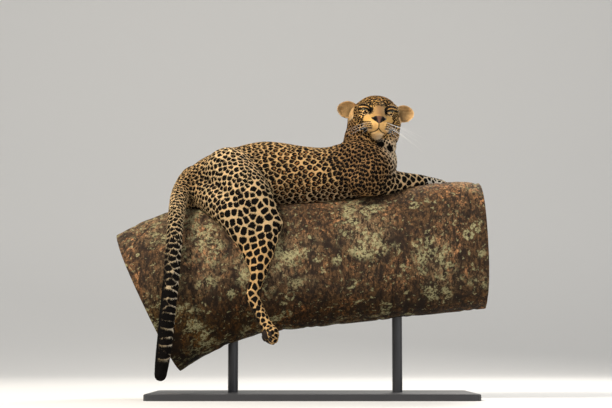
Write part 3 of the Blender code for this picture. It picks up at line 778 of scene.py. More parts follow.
def coat_ground(points, normals, shares, inner, on_head):
    """The ground's colour: each region's own, paler under the chest, throat and belly, inside the legs, along
    the tail's hind edge and by the eyes, golden on the muzzle, brown on its bridge and rusty on the crown.
    Gives the colour and how pale it is."""
    x, y, z = inner.T
    wide = np.abs(y)
    trunk_share = share_of(shares, "flank", "hips", "chest")
    belly = 0.22 * ramp(-normals[:, 2], 0.30, 0.85) * trunk_share
    neck = neck_front(normals, shares)
    front = share_of(shares, "chest") * ramp(normals[:, 0], 0.45, 0.85)
    low = ramp(-points[:, 2], -0.60, -0.40)
    fringe = 0.5 * share_of(shares, "tail") * ramp(normals[:, 0], 0.0, 0.8) * low
    legs = share_of(shares, "thigh", "shank", "haunch", "forearm", "paw", "foot")
    inside = legs * ramp(-normals[:, 1] * np.sign(points[:, 1] + 1e-9), 0.1, 0.8)
    pale = np.clip(np.maximum.reduce([belly, neck * (1 - on_head), front, fringe, inside]), 0, 1)

    chin = ramp(-z, 0.054, 0.064) * ramp(x, 0.020, 0.055)
    throat = ramp(-z, 0.058, 0.074) * (0.25 + 0.70 * ramp(y, -0.010, 0.020))
    under_eye = mound((wide, 0.036, 0.016), (z, 0.010, 0.008)) * ramp(x, 0.02, 0.035)
    lid = mound((wide, 0.041, 0.015), (z, 0.0310, 0.0040)) * ramp(x, 0.02, 0.035)
    over_eye = mound((wide, 0.040, 0.014), (z, 0.0455, 0.0035)) * ramp(x, 0.015, 0.03)
    pale_head = np.clip(0.06 * chin + throat + 0.25 * under_eye + 0.05 * lid + 0.20 * over_eye, 0, 1)
    pale = pale * (1 - on_head) + pale_head * on_head

    muzzle = ramp(x, 0.045, 0.070) * ramp(-z, 0.020, 0.032) * on_head
    ground = towards(blend(shares, "ground"), MUZZLE_GOLD, muzzle)
    ground = towards(ground, WHITE + (BREAST_CREAM - WHITE) * np.maximum(neck, front)[:, None], pale)
    bridge = ramp(x, 0.045, 0.070) * mound((wide, 0, 0.021)) * ramp(z, -0.020, -0.004) * on_head
    ground = towards(ground, BRIDGE_BROWN, 0.82 * bridge)
    rusty = np.clip(0.5 * ramp(z, 0.045, 0.070) * on_head + 0.8 * lid * on_head, 0, 1)
    ground = ground * (1 - rusty[:, None] * (1 - RUST_TINT))
    return towards(ground, BREAST_CREAM, 0.7 * below_chin(points)), pale


def neck_front(normals, shares):
    """How much a point belongs to the front of the neck."""
    return share_of(shares, "neck") * ramp(dot(normals, unit((0.80, -0.45, 0))), 0.55, 0.90)


def below_chin(points):
    """How much a point belongs to the throat right under the chin."""
    near = mound((points[:, 0], 0.248, 0.026), (points[:, 2], 0.785, 0.034))
    return near * ramp(-points[:, 1], 0.0, 0.03)


def spot_strength(points, normals, shares, inner, on_head):
    """One where the spots are whole and nought where there are none: on the bridge, the muzzle, the lids and
    the front of the chin. They are weaker down the front of the neck."""
    x, y, z = inner.T
    wide = np.abs(y)
    muzzle = ramp(x, 0.048, 0.058) * ramp(-z, -0.014, 0.004)
    bridge = ramp(x, 0.038, 0.050) * mound((wide, 0, 0.015), power=4) * ramp(-z, -0.036, -0.022)
    lids = mound((wide, 0.040, 0.018), (z, 0.027, 0.010), power=4) * ramp(x, 0.020, 0.030)
    chin_edge = 0.35 + 0.65 * ramp(z, -0.068, -0.062)
    chin = ramp(-z, 0.053, 0.057) * ramp(x, 0.035, 0.055) * chin_edge
    bare = np.clip(np.maximum(muzzle, bridge) + 0.6 * lids + chin, 0, 1)
    neck = neck_front(normals, shares) * (1 - on_head)
    return (1 - on_head * bare) * (1 - 0.4 * neck) * (1 - 0.35 * below_chin(points))


def body_marks(points, normals, shares):
    """The black marks that aren't spots: the strip behind each hind foot, the tail's tip and its hind edge
    low down, and the blotches on the throat."""
    black = np.zeros(len(points))
    behind = ramp(dot(normals, unit((-0.8, 0, -0.5))), 0.35, 0.75)
    for side in SIDES:
        away, along = line_distance(points, (HOCK[side], HIND_TOE[side]))
        strip = ramp(0.05 - away, 0, 0.01) * behind * ramp(0.80 - along, 0, 0.2)
        black = np.maximum(black, 0.93 * strip * ramp(along, 0.05, 0.2))
    tail_tip = ramp(0.062 - np.linalg.norm(points - np.array(TAIL[-1]), axis=1), 0, 0.012)
    low_tail = share_of(shares, "tail") * ramp(-points[:, 2], -0.62, -0.32)
    edge = ramp(dot(normals, unit((-1, 0.35, 0))), -0.05, 0.50) * low_tail
    black = np.maximum.reduce([black, tail_tip, edge])
    near_side = ramp(-points[:, 1], 0.0, 0.02)
    for place, width, height in THROAT_BLOTCHES:
        away = np.sqrt(((points[:, 0] - place[0]) / width) ** 2 + ((points[:, 2] - place[2]) / height) ** 2)
        black = np.maximum(black, ramp(1.0 - away, -0.12, 0.12) * near_side)
    return black


def coat_at(points, normals):
    """Everything the coat needs to know at each point: ground, marks, lie, length, width and spots' size."""
    shares = region_shares(points)
    inner = world_to_head(points)
    on_head = ramp(share_of(shares, "head"), 0.35, 0.65)

    # away from the nose over the head, and each region's own lie elsewhere
    from_nose = unit(inner - NOSE_TIP) @ HEAD_TURN.T
    lie = towards(blend(shares, "lie"), from_nose, on_head)
    lie = unit(lie - normals * dot(lie, normals)[:, None])

    ground, pale = coat_ground(points, normals, shares, inner, on_head)
    strength = spot_strength(points, normals, shares, inner, on_head)
    black, bare, tone = face_marks(inner, on_head)
    ears, ear_black, ear_ground = ear_marks(inner, normals @ HEAD_TURN)
    black = np.maximum.reduce([black * (1 - ears), ear_black, body_marks(points, normals, shares)])

    face = on_head * ramp(inner[:, 0], 0.0, 0.05)
    off_head = (1 - on_head) * (1 - share_of(shares, "tail"))
    return dict(
        lie=lie, ground=towards(ground, ear_ground, ears), strength=strength * (1 - ears),
        black=black, bare=bare, tone=tone,
        length=blend(shares, "length") * (1 - 0.50 * face) * (1 + 0.15 * ears),
        width=blend(shares, "width") * (1 - 0.30 * face) * (1 - 0.25 * ears),
        cell=blend(shares, "cell"), stretch=blend(shares, "stretch"), solid=blend(shares, "solid"),
        gap=blend(shares, "gap") + 0.05 * pale * off_head, limit=0.62 - 0.10 * on_head, shares=shares,
    )


# The face's dark lines as it is seen from the front: each a row of places, out from the middle and up
WHISKER_ROWS = (
    ((0.0262, -0.0290), (0.0400, -0.0245), (0.0515, -0.0150)),
    ((0.0243, -0.0360), (0.0385, -0.0325), (0.0520, -0.0236)),
    ((0.0210, -0.0425), (0.0370, -0.0395), (0.0500, -0.0310)),
    ((0.0215, -0.0485), (0.0330, -0.0470), (0.0430, -0.0420)),
)
MOUTH_CORNER = ((0.0370, -0.0512), (0.0430, -0.0475), (0.0465, -0.0430))
NOSE_CLEFT = ((0, -0.0300), (0, -0.0500))

# The nose's half width at some heights, and its pink middle's
NOSE_HEIGHTS, NOSE_HALF_WIDTHS = (-0.0345, -0.0290, -0.0180, -0.0120), (0.0035, 0.0100, 0.0225, 0.0240)
PINK_HEIGHTS, PINK_HALF_WIDTHS = (-0.034, -0.024, -0.013), (0.0020, 0.0040, 0.0085)

# Round the eye: the line, half its thickness, how soft its edge is, how much it tapers and how black it is
UPPER_LID = ((0.0570, 0.0385), (0.0450, 0.0385), (0.0315, 0.0355), (0.0240, 0.0275), (0.0210, 0.0190))
LID_SLIT = ((0.0570, 0.0245), (0.0500, 0.0262), (0.0420, 0.0262), (0.0330, 0.0240), (0.0270, 0.0205))
LOWER_LID = ((0.0545, 0.0230), (0.0420, 0.0212), (0.0275, 0.0205))
TEAR_LINE = ((0.0240, 0.0215), (0.0235, 0.0140), (0.0265, 0.0040))
OUTER_FLICK = ((0.0570, 0.0250), (0.0630, 0.0275), (0.0680, 0.0330))
BROW = ((0.0200, 0.0420), (0.0310, 0.0505), (0.0450, 0.0515), (0.0560, 0.0465))
EYE_LINES = (
    (UPPER_LID, 0.0044, 0.0010, 0.0, 1.0),
    (LID_SLIT, 0.0035, 0.0009, 0.0, 1.0),
    (LOWER_LID, 0.0017, 0.0008, 0.0, 1.0),
    (TEAR_LINE, 0.0032, 0.0012, 0.45, 0.9),
    (OUTER_FLICK, 0.0026, 0.0009, 0.4, 0.9),
    (BROW, 0.0028, 0.0010, 0.0, 0.85),
)


def face_marks(inner, on_head):
    """The face's black lines and bare leather, each from its distance to a line as the face is seen from the
    front: lips, the cleft under the nose, rows on the whisker pads, lid lines, brows and tear lines. tone is
    nought on black leather and one on the pink of the nose."""
    x, y, z = inner.T
    wide = np.abs(y)
    front = np.column_stack([np.zeros_like(x), wide, z])
    forward = ramp(x, 0.018, 0.028) * on_head

    def line(stops, thick, soft=0.0007, taper=0.0, steps=16):
        stops = np.array([(0, a, b) for a, b in stops], float)
        away, share = line_distance(front, smooth_rows(stops, steps))
        return ramp(thick * (1 - taper * share) - away, -soft, soft), share

    lips, _ = line([(p[1], p[2]) for p in MOUTH], 0.0013, 0.0008)
    corner, _ = line(MOUTH_CORNER, 0.0046, 0.0018)
    cleft, _ = line(NOSE_CLEFT, 0.0012, 0.0007, steps=4)
    muzzle = ramp(x, 0.045, 0.055)
    black = np.maximum.reduce([lips * muzzle, corner * ramp(x, 0.040, 0.05), cleft * muzzle])
    bare = lips * muzzle * ramp(0.0010 - np.abs(z + 0.055), -0.03, 0.0)

    # the nose: a leather shield, pink down its middle and black round the nostrils
    side_limit = np.interp(z, NOSE_HEIGHTS, NOSE_HALF_WIDTHS)
    shield = ramp(side_limit - wide, -0.0008, 0.0008) * ramp(-0.0112 - 2.0 * wide**2 - z, -0.0016, 0.0016)
    shield = shield * ramp(z + 0.0350, -0.0005, 0.0008) * ramp(x, 0.068, 0.078)
    pink = ramp(np.interp(z, PINK_HEIGHTS, PINK_HALF_WIDTHS) - wide, -0.0026, 0.0022)
    tone = shield * pink
    black = np.maximum(black, shield * (1 - pink))
    bare = np.maximum(bare, shield)

    # rows of dark flecks where the whiskers grow
    for i, stops in enumerate(WHISKER_ROWS):
        flecks, share = line(stops, 0.0025, 0.0008, 0.20)
        gaps = ramp(0.80 + 0.5 * np.cos(share * 2 * math.pi * 4.0 + 1.3 * i), 0.20, 0.50)
        black = np.maximum(black, 0.94 * flecks * gaps * ramp(x, 0.026, 0.040))

    # lids, tear lines and brows
    for stops, thick, soft, taper, dark in EYE_LINES:
        black = np.maximum(black, dark * line(stops, thick, soft, taper)[0])
    rim = slit_outline(1)
    rim_away, _ = line_distance(np.column_stack([x, wide, z]), np.vstack([rim, rim[:1]]))
    bare = np.maximum(bare, ramp(0.0013 - rim_away, -0.0005, 0.0005))
    return black * forward, bare * forward, tone * forward


def ear_marks(inner, facing):
    """The ears: golden and shaggy inside, with painted shade that darkens the depth of the cup, black behind
    with a pale patch, and pale along the rim. Gives how much a point belongs to an ear, how black it is, and
    its ground."""
    ears = np.zeros(len(inner))
    black = np.zeros(len(inner))
    ground = np.zeros((len(inner), 3)) + OCHRE
    for out in (-1, 1):
        outward, upward, forward = ear_axes(out)
        local = inner - mirrored(EAR_CENTRE, out)
        along, across, deep = local @ outward, local @ upward, local @ forward
        reach = np.sqrt((along / (EAR_LENGTH / 2 + 0.003)) ** 2 + (across / (EAR_WIDTH / 2 + 0.003)) ** 2)
        here = ramp(1.12 - reach, 0, 0.10) * ramp(0.040 - np.abs(deep + 0.010), 0, 0.004)
        here *= ramp(np.abs(inner[:, 1]), 0.064, 0.074) * (np.sign(inner[:, 1]) == out)
        cup = ramp(facing @ forward, -0.1, 0.2)
        back = here * (1 - cup)
        patch = ramp(0.50 - np.sqrt(((along - 0.002) / 0.034) ** 2 + (across / 0.024) ** 2), 0, 0.12)
        black = np.maximum(black, back * (1 - patch) * ramp(0.93 - reach, 0, 0.05))
        # painted shade: the depth of the cup darkened towards black
        cup_shade = here * cup * ramp(-deep, 0.012, EAR_CUP) * ramp(-along, -0.012, 0.010)
        black = np.maximum(black, 0.55 * cup_shade)
        rim = ramp(reach, 0.72, 0.95)
        # painted shade: the gold inside the cup darker the deeper it lies
        shade = ramp(-deep, 0.004, EAR_CUP)
        inside = GOLD * (1.35 - 0.50 * shade[:, None]) + (CREAM - GOLD) * 0.55 * rim[:, None]
        colour = np.where((back * patch > 0.3)[:, None], WHITE * 0.9, inside)
        ground = np.where((here > 0.02)[:, None], colour, ground)
        ears = np.maximum(ears, here)
    return ears, black, ground


# spots


# In cells: how far apart centres are kept, how far out their neighbours are noted, how much bigger two spots
# are that run together, and how much sizes differ; then the share of neighbours that run together
SPOT_SPACING = 0.80
SPOT_REACH = 2.0
RUN_TOGETHER_GROWTH = 0.10
UNEVEN_SIZE = 0.05
RUN_TOGETHER_SHARE = 0.17

# What the spots read of the coat
SPOT_KEYS = ("cell", "stretch", "lie", "limit")


class Spots:
    """The spots' centres on the skins, each with its cell, its stretch, its lie and its limit: points drawn
    in a random order, each kept if it is at least four fifths of a cell from those kept before. Distances
    are in cells, and shorter along the lie where cells stretch."""

    def __init__(self, points, coat):
        order = np.argsort(points[:, 0], kind="stable")
        self.points = points[order]
        sorted_coat = {key: coat[key][order] for key in SPOT_KEYS}
        count = len(points)
        near = np.full((count, 3), 9.0)
        which = np.zeros((count, 3), int)
        taken = np.zeros(count, bool)
        centres = []
        along_x = self.points[:, 0]
        for i in self.still_free(rng.permutation(count), taken):
            cell, stretch, lie, limit = (sorted_coat[key][i] for key in SPOT_KEYS)
            reach = 2.1 * cell * max(stretch, 1 / stretch)
            low, high = np.searchsorted(along_x, (along_x[i] - reach, along_x[i] + reach))
            apart = self.points[low:high] - self.points[i]
            away = self.measured(apart, cell, stretch, lie)
            close = np.flatnonzero(away < SPOT_REACH)
            away, close = away[close], close + low
            taken[close[away < SPOT_SPACING]] = True
            longer = np.column_stack([near[close], away])
            longer_which = np.column_stack([which[close], np.full(len(close), len(centres))])
            ranks = np.argsort(longer, axis=1, kind="stable")[:, :3]
            near[close] = np.take_along_axis(longer, ranks, axis=1)
            which[close] = np.take_along_axis(longer_which, ranks, axis=1)
            centres.append((*self.points[i], cell, stretch, *lie, limit))
        self.centres = np.array(centres)
        back = np.empty(count, int)
        back[order] = np.arange(count)
        self.which = which[back]
        self.chance = rng.random(len(centres))

    @staticmethod
    def still_free(draw, taken, block=2048):
        """The points of a draw in turn without those that are taken by then, found a block at a time."""
        place = 0
        while place < len(draw):
            free = np.flatnonzero(~taken[draw[place : place + block]])
            if not len(free):
                place += block
                continue
            place += free[0] + 1
            yield draw[place - 1]

    @staticmethod
    def measured(apart, cell, stretch, lie):
        """Distance in cells: along the lie it is divided by the root of the stretch, across it multiplied."""
        along = dot(apart, lie)
        across = np.maximum(dot(apart, apart) - along**2, 0)
        return np.sqrt(along**2 / stretch + across * stretch) / cell

    def edge(self, points, pair):
        """How deep each point is in its own cell: half the difference between its distances to the second
        centre and the first, but no more than the centre's limit less the first, which rounds the
        cell. Some neighbours run together."""
        first, second = (self.centres[pair[..., i]] for i in (0, 1))
        to_first = self.measured(points - first[..., :3], first[..., 3], first[..., 4], first[..., 5:8])
        to_second = self.measured(points - second[..., :3], second[..., 3], second[..., 4], second[..., 5:8])
        between = (to_second - to_first) / 2
        mixed = (self.chance[pair[..., 0]] + self.chance[pair[..., 1]]) * 7.31 % 1
        run_on = np.where(mixed < RUN_TOGETHER_SHARE, RUN_TOGETHER_GROWTH, 0.0)
        shift = UNEVEN_SIZE * (self.chance[pair[..., 0]] - 0.5)
        return np.minimum(between + run_on, first[..., 8] - to_first) + shift

    def best_pair(self, points, options):
        """The two nearest of the centres that are offered for each point."""
        centre = self.centres[options]
        apart = points[:, None] - centre[..., :3]
        away = self.measured(apart, centre[..., 3], centre[..., 4], centre[..., 5:8])
        first = np.take_along_axis(options, away.argmin(axis=1)[:, None], axis=1)
        away = np.where(options == first, 99.0, away)
        second = np.take_along_axis(options, away.argmin(axis=1)[:, None], axis=1)
        return np.hstack([first, second])


# skins


def bough_axis():
    """Places along the bough's middle line, and its radius at each."""
    rows = smooth_rows([(*place, share) for place, share in BOUGH_LINE], 60)
    return rows[:, :3], rows[:, 3] * BOUGH_RADIUS


def bough_lumps(around, station):
    """Two slow waves round the bough, of three and five crests, that turn as they run along it."""
    return 0.016 * np.sin(3 * around + 7 * station) + 0.012 * np.sin(5 * around - 11 * station + 1)


def clear_of_bough(points, room):
    """Moves points that reach into the bough straight out from its axis until they are clear by the room."""
    line, radii = bough_axis()
    away, share = line_distance(points, line)
    spot = share * (len(line) - 1)
    centre = np.column_stack([np.interp(spot, np.arange(len(line)), line[:, k]) for k in range(3)])
    outwards = unit(points - centre)
    around = np.arctan2(outwards[:, 2], outwards[:, 1])
    radius = np.interp(spot, np.arange(len(line)), radii) * (1 + bough_lumps(around, share)) + room
    inside = away < radius
    moved = points.copy()
    moved[inside] = (centre + outwards * radius[:, None])[inside]
    return moved, away - radius


def in_egg(inner, middle, radii):
    """How far out each point is from an ellipsoid's middle, as a share of its radius that way."""
    return np.linalg.norm((inner - middle) / radii, axis=1)


def open_eye(points, out):
    """Sinks the slit of an eye to behind the eyeball, and a crease over the upper lid that bends down towards
    both corners."""
    gaze, corner, up = eye_axes(out)
    local = points - eye_centre(out)
    across, high, deep = local @ corner, local @ up, local @ gaze
    half = np.where(high > 0, SLIT_RISE, SLIT_DROP)
    t = np.clip(np.abs(across) / SLIT_HALF_WIDTH, 0, 1)
    open_by = 1 - np.abs(high) / (half * (1 - t**2.2) + 1e-5)
    sink = ramp(open_by, -0.10, 0.35) * (deep > 0) * (np.abs(across) < SLIT_HALF_WIDTH)
    behind = np.minimum(deep, 0.008)
    points = points + gaze * ((behind - deep) * sink)[:, None]
    crease = CREASE_DEPTH * mound((high + 14 * across**2, 0.0078, CREASE_BAND))
    crease *= ramp(0.017 - np.abs(across), 0, 0.005) * (deep > 0)
    return points - gaze * crease[:, None]


def open_face(points, normals):
    """Shapes the head's skin in its own frame: sinks the slits of the eyes behind the eyeballs, the nostrils
    and the line of the mouth, each by its depth times a smooth step of the distance to it."""
    for out in (-1, 1):
        points = open_eye(points, out)
        away, share = line_distance(points, mirrored(smooth_rows(MOUTH, 18), out))
        points = points - normals * (MOUTH_DEPTH * (1 - 0.4 * share) * mound((away, 0, MOUTH_BAND)))[:, None]
        local = (points - mirrored(NOSTRIL, out)) / NOSTRIL_SIZE
        points = points - mirrored(NOSTRIL_SINK, out) * np.exp(-dot(local, local) * 1.1)[:, None]
        near = in_egg(points, mirrored(NOSE_WING, out), NOSE_WING_SIZE)
        points = points - normals * (WING_DEPTH * np.exp(-(near**2)))[:, None]
    away, _ = line_distance(points, smooth_rows(PHILTRUM, 8))
    return points - normals * (PHILTRUM_DEPTH * mound((away, 0, PHILTRUM_BAND)))[:, None]


def leopard_skins():
    """The body's skin and the head's, each a coat's depth inside its masses. The head's runs on inside the
    neck's fur, so that the two close over each other."""
    points, faces = fused("body_masses", body_forms(), BODY_VOXEL, 7)
    normals = corner_normals(points, faces)
    points = points - normals * BODY_COAT_DEPTH
    points, _ = clear_of_bough(points, 0.0010)
    points, faces = without(points, faces, hidden_in_head(points))
    body = points, faces

    points, faces = fused("head_masses", head_forms(), HEAD_VOXEL, 9)
    normals = corner_normals(points, faces)
    points = points - normals * HEAD_COAT_DEPTH
    points = open_face(points, normals)
    points = relaxed(points, faces, 1)
    head = head_to_world(points), faces
    return body, head


def hidden_in_head(points):
    """The part of the neck's top that lies well inside the head."""
    return in_egg(world_to_head(points), (-0.035, 0, 0.012), (0.046, 0.052, 0.045)) < 1.0


def without(points, faces, drop):
    """Drops the faces whose corners are all marked, and the points that no face keeps."""
    faces = faces[~drop[faces].all(axis=1)]
    used = np.zeros(len(points), bool)
    used[faces] = True
    place = np.cumsum(used) - 1
    return points[used], place[faces]


def write_coat(mesh, coat, edge, chance, strand):
    """The attributes that the coat's material reads."""
    set_attribute(mesh, "coat_ground", "FLOAT_COLOR", coat["ground"])
    set_attribute(mesh, "coat_edge", "FLOAT_VECTOR", np.column_stack([edge, chance, strand]))
    shape = np.column_stack([coat["gap"], coat["solid"], coat["strength"]])
    set_attribute(mesh, "coat_shape", "FLOAT_VECTOR", shape)
    marks = np.column_stack([coat["black"], coat["bare"], coat["tone"]])
    set_attribute(mesh, "coat_marks", "FLOAT_VECTOR", marks)


class Skin:
    """A skin with what the tufts need of it: normals, the coat's facts, neighbours, the spots' centres."""

    def __init__(self, points, faces):
        self.points, self.faces = points, faces
        self.normals = corner_normals(points, faces)
        self.coat = coat_at(points, self.normals)
        self.around = neighbour_table(faces, len(points))
        self.centres = None

    def dressed(self, name, spots, material):
        """The skin as a piece with the coat's attributes."""
        pair = self.centres[:, :2]
        edge = spots.edge(self.points, pair)
        piece = make_piece(name, self.points, self.faces, "coat", material)
        write_coat(piece.data, self.coat, edge, spots.chance[pair[:, 0]], np.full(len(edge), 0.5))
        return piece

    def below(self, goals, starts, above):
        """Each goal moved onto the skin's tangent at the nearest point, found by steps along the skin from
        the start, and raised by a height."""
        here = starts
        for _ in range(WALK_STEPS):
            away = ((self.points[self.around[here]] - goals[:, None]) ** 2).sum(axis=2)
            here = self.around[here, away.argmin(axis=1)]
        height = dot(goals - self.points[here], self.normals[here])[:, None]
        return goals + self.normals[here] * (above - height)


def neighbour_table(faces, count):
    """For each point itself and the others of the quads round it; short rows are filled with the point."""
    pairs = [(i, j) for i in range(4) for j in range(4) if i != j]
    start = np.concatenate([faces[:, i] for i, _ in pairs]).astype(np.int64)
    end = np.concatenate([faces[:, j] for _, j in pairs])
    keys = np.unique(start * count + end)
    start, end = keys // count, keys % count
    first = np.searchsorted(start, np.arange(count))
    place = np.arange(len(start)) - first[start]
    table = np.repeat(np.arange(count)[:, None], place.max() + 2, axis=1)
    table[start, place + 1] = end
    return table


# tufts


TUFT_GROUPS = {
    "coat_head_front": ("head", ("head",), 45000),
    "coat_head_back": ("head", ("head",), 30000),
    "coat_neck": ("body", ("neck", "head"), 24000),
    "coat_chest": ("body", ("chest",), 30000),
    "coat_shoulders": ("body", ("shoulder",), 26000),
    "coat_flanks": ("body", ("flank", "spine"), 44000),
    "coat_hips": ("body", ("hips", "haunch_left", "thigh_left"), 42000),
    "coat_near_thigh": ("body", ("haunch_right", "thigh_right"), 34000),
    "coat_legs": ("body", ("shank", "foot", "forearm", "paw"), 44000),
    "coat_tail": ("body", ("tail",), 28000),
}


# A tuft: how much its lie wavers, how far along it the ridge stands, and how deep its root is sunk
TUFT_WAVER = 0.16
RIDGE_PLACE = 0.42
ROOT_DEPTH = 0.0006

# How many steps along the skin a tuft's tip is from its root at most
WALK_STEPS = 9


def scattered(skin, weight, count):
    """Roots spread over the faces: each face is drawn by its area times its weight, and a root lies in it by
    two even shares. Gives the roots, their normals, and one corner of each one's face."""
    a, b, c, d = (skin.points[skin.faces[:, i]] for i in range(4))
    area = np.linalg.norm(np.cross(c - a, d - b), axis=1) * weight[skin.faces].mean(axis=1)
    corners = skin.faces[rng.choice(len(skin.faces), count, p=area / area.sum())]
    s, t = rng.random((2, count, 1))
    mix = [(1 - s) * (1 - t), s * (1 - t), s * t, (1 - s) * t]
    root = sum(m * skin.points[corners[:, i]] for i, m in enumerate(mix))
    normal = unit(sum(m * skin.normals[corners[:, i]] for i, m in enumerate(mix)))
    return root, normal, corners


def unwrapped(root, shares):
    """A place on an unwrap of the skin: each region is a strip of the map, its length along the region's axis
    and its width the turn round that axis."""
    best = shares.argmax(axis=1)
    place = np.zeros((len(root), 2))
    columns = 5
    rows = -(-len(REGIONS) // columns)
    for i, region in enumerate(REGIONS):
        here = best == i
        if not here.any():
            continue
        axis = region["end"] - region["start"]
        long = max(np.linalg.norm(axis), 0.02)
        ahead = unit(axis)
        side = unit(np.cross(ahead, (0.21, 0.35, 0.91)))
        up = np.cross(ahead, side)
        local = root[here] - region["start"]
        along = np.clip(local @ ahead / long * 0.5 + 0.25, 0.01, 0.99)
        turn = np.arctan2(local @ up, local @ side) / (2 * math.pi) + 0.5
        place[here, 0] = (i % columns + 0.03 + 0.94 * along) / columns
        place[here, 1] = (i // columns + 0.03 + 0.94 * turn) / rows
    return place


def tufts(name, skin, spots, root, normal, corners, material):
    """Flat tapered tufts: a root edge, a raised ridge two fifths of the way along, and a tip that comes back
    to the skin's shape a little above it."""
    count = len(root)
    coat = coat_at(root, normal)
    ruffle = rng.normal(0, TUFT_WAVER, (count, 1))
    lie = unit(coat["lie"] + np.cross(normal, coat["lie"]) * ruffle)
    side = np.cross(normal, lie)
    long = (coat["length"] * rng.uniform(0.72, 1.25, count))[:, None]
    wide = (coat["width"] * rng.uniform(0.75, 1.25, count))[:, None]
    lift = long * rng.uniform(0.05, 0.15, (count, 1))
    ridge = skin.below(root + lie * long * RIDGE_PLACE, corners[:, 0], long * 0.03 + wide * 0.30)
    tip = skin.below(root + lie * long, corners[:, 0], lift)
    sunk = root - normal * ROOT_DEPTH
    made = np.stack([sunk - side * wide / 2, sunk + side * wide / 2, ridge, tip], axis=1)
    first = np.arange(count)[:, None] * 4
    faces = np.concatenate([first + f for f in ((0, 1, 2), (1, 3, 2), (3, 0, 2), (0, 3, 1))], axis=1)
    piece = make_piece(name, made.reshape(-1, 3), faces.reshape(-1, 3), "coat", material)

    pair = spots.best_pair(root, np.hstack([skin.centres[corners[:, i]] for i in range(4)]))
    edge = spots.edge(made + rng.normal(0, 0.0003, (count, 1, 3)), np.repeat(pair[:, None], 4, axis=1))
    each = {key: np.repeat(value, 4, axis=0) for key, value in coat.items()}
    chance = np.repeat(spots.chance[pair[:, 0]], 4)
    write_coat(piece.data, each, edge.ravel(), chance, np.repeat(rng.random(count), 4))

    around = unwrapped(root, coat["shares"])[:, None, :]
    patch = np.array([(-0.0015, -0.0015), (0.0015, -0.0015), (0.0, 0.0), (0.0, 0.0015)])
    spread = (around + patch).reshape(-1, 2)
    uv = piece.data.uv_layers.new(name="OFBake")
    corner = np.zeros(len(piece.data.loops), np.int32)
    piece.data.loops.foreach_get("vertex_index", corner)
    uv.data.foreach_set("uv", spread[corner].astype(np.float32).ravel())


def dress_in_tufts(skins, spots, material):
    """Tufts over both skins, in groups by region; none on bare leather, inside the head or on the bough."""
    for name, (which, regions, count) in TUFT_GROUPS.items():
        skin = skins[which]
        inner = world_to_head(skin.points)
        weight = ramp(share_of(skin.coat["shares"], *regions), 0.30, 0.50)
        if which == "head":
            front = ramp(inner[:, 0], -0.004, 0.004)
            face = ramp(inner[:, 0], 0.02, 0.05)
            weight = (front if name.endswith("front") else 1 - front) * (1 + 0.8 * face)
            weight *= ramp(np.linalg.norm(inner - (-0.035, 0, 0.0), axis=1), 0.03, 0.04)
        else:
            _, room = clear_of_bough(skin.points, 0.0010)
            weight = weight * ramp(room, 0.0010, 0.0040)
            buried = in_egg(inner, (-0.030, 0, 0.005), (0.062, 0.068, 0.062))
            weight = weight * ramp(buried, 0.95, 1.10)
        weight = weight * (1 - ramp(skin.coat["bare"], 0.2, 0.6))
        root, normal, corners = scattered(skin, weight, count)
        tufts(name, skin, spots, root, normal, corners, material)


# materials


class Nodes:
    """Short ways to add and join nodes in one material."""

    def __init__(self, name):
        self.material = bpy.data.materials.new(name)
        self.material.use_nodes = True
        self.nodes, self.links = self.material.node_tree.nodes, self.material.node_tree.links
        self.shader = self.nodes["Principled BSDF"]

    def add(self, kind, **settings):
        """A new node with its settings."""
        node = self.nodes.new(kind)
        for key, value in settings.items():
            setattr(node, key, value)
        return node

    def put(self, socket, value):
        """Joins another node's output to a socket, or writes a plain value to it."""
        if isinstance(value, bpy.types.NodeSocket):
            self.links.new(value, socket)
        else:
            socket.default_value = value

    def fill(self, node, **values):
        """Joins or writes a node's inputs; a low line in a name stands for a space. Gives the outputs."""
        for name, value in values.items():
            self.put(node.inputs[name.replace("_", " ")], value)
        return node.outputs

    def attribute(self, name, output="Vector"):
        return self.add("ShaderNodeAttribute", attribute_name=name).outputs[output]

    def maths(self, operation, a, b=0.0, clamp=False):
        node = self.add("ShaderNodeMath", operation=operation, use_clamp=clamp)
        self.put(node.inputs[0], a)
        self.put(node.inputs[1], b)
        return node.outputs[0]

    def times(self, a, b):
        return self.maths("MULTIPLY", a, b)

    def plus(self, a, b):
        return self.maths("ADD", a, b)

    def minus(self, a, b):
        return self.maths("SUBTRACT", a, b)

    def vector(self, operation, a, b):
        node = self.add("ShaderNodeVectorMath", operation=operation)
        self.put(node.inputs[0], a)
        self.put(node.inputs[3 if operation == "SCALE" else 1], b)
        return node.outputs[0]

    def noise(self, place, scale, detail=2.0, rough=0.5, output="Fac"):
        node = self.add("ShaderNodeTexNoise")
        return self.fill(node, Vector=place, Scale=scale, Detail=detail, Roughness=rough)[output]

    def cells(self, place, scale, feature="F1", output="Distance"):
        """Cells round scattered points: the distance to a point or to a cell's edge, or a colour each."""
        node = self.add("ShaderNodeTexVoronoi", feature=feature)
        return self.fill(node, Vector=place, Scale=scale)[output]

    def step(self, value, low, high):
        """Nought at low, one at high and smooth between; low may be the greater."""
        node = self.add("ShaderNodeMapRange", interpolation_type="SMOOTHSTEP")
        return self.fill(node, Value=value, From_Min=low, From_Max=high)[0]

    def blend(self, share, a, b, mode="MIX"):
        node = self.add("ShaderNodeMix", data_type="RGBA", blend_type=mode)
        self.put(node.inputs[0], share)
        self.put(node.inputs[6], a)
        self.put(node.inputs[7], b)
        return node.outputs[2]

    def tinted(self, colour, tint):
        """A colour multiplied by another, or by a value."""
        return self.blend(1.0, colour, tint, "MULTIPLY")

    def split(self, vector):
        node = self.add("ShaderNodeSeparateXYZ")
        self.put(node.inputs[0], vector)
        return node.outputs

    def bump(self, height, distance, strength=1.0):
        bumped = self.fill(self.add("ShaderNodeBump"), Strength=strength, Distance=distance, Height=height)
        self.set(Normal=bumped[0])

    def set(self, **values):
        """Joins or writes the shader's inputs."""
        self.fill(self.shader, **values)

    @property
    def object_place(self):
        return self.add("ShaderNodeTexCoord").outputs["Object"]


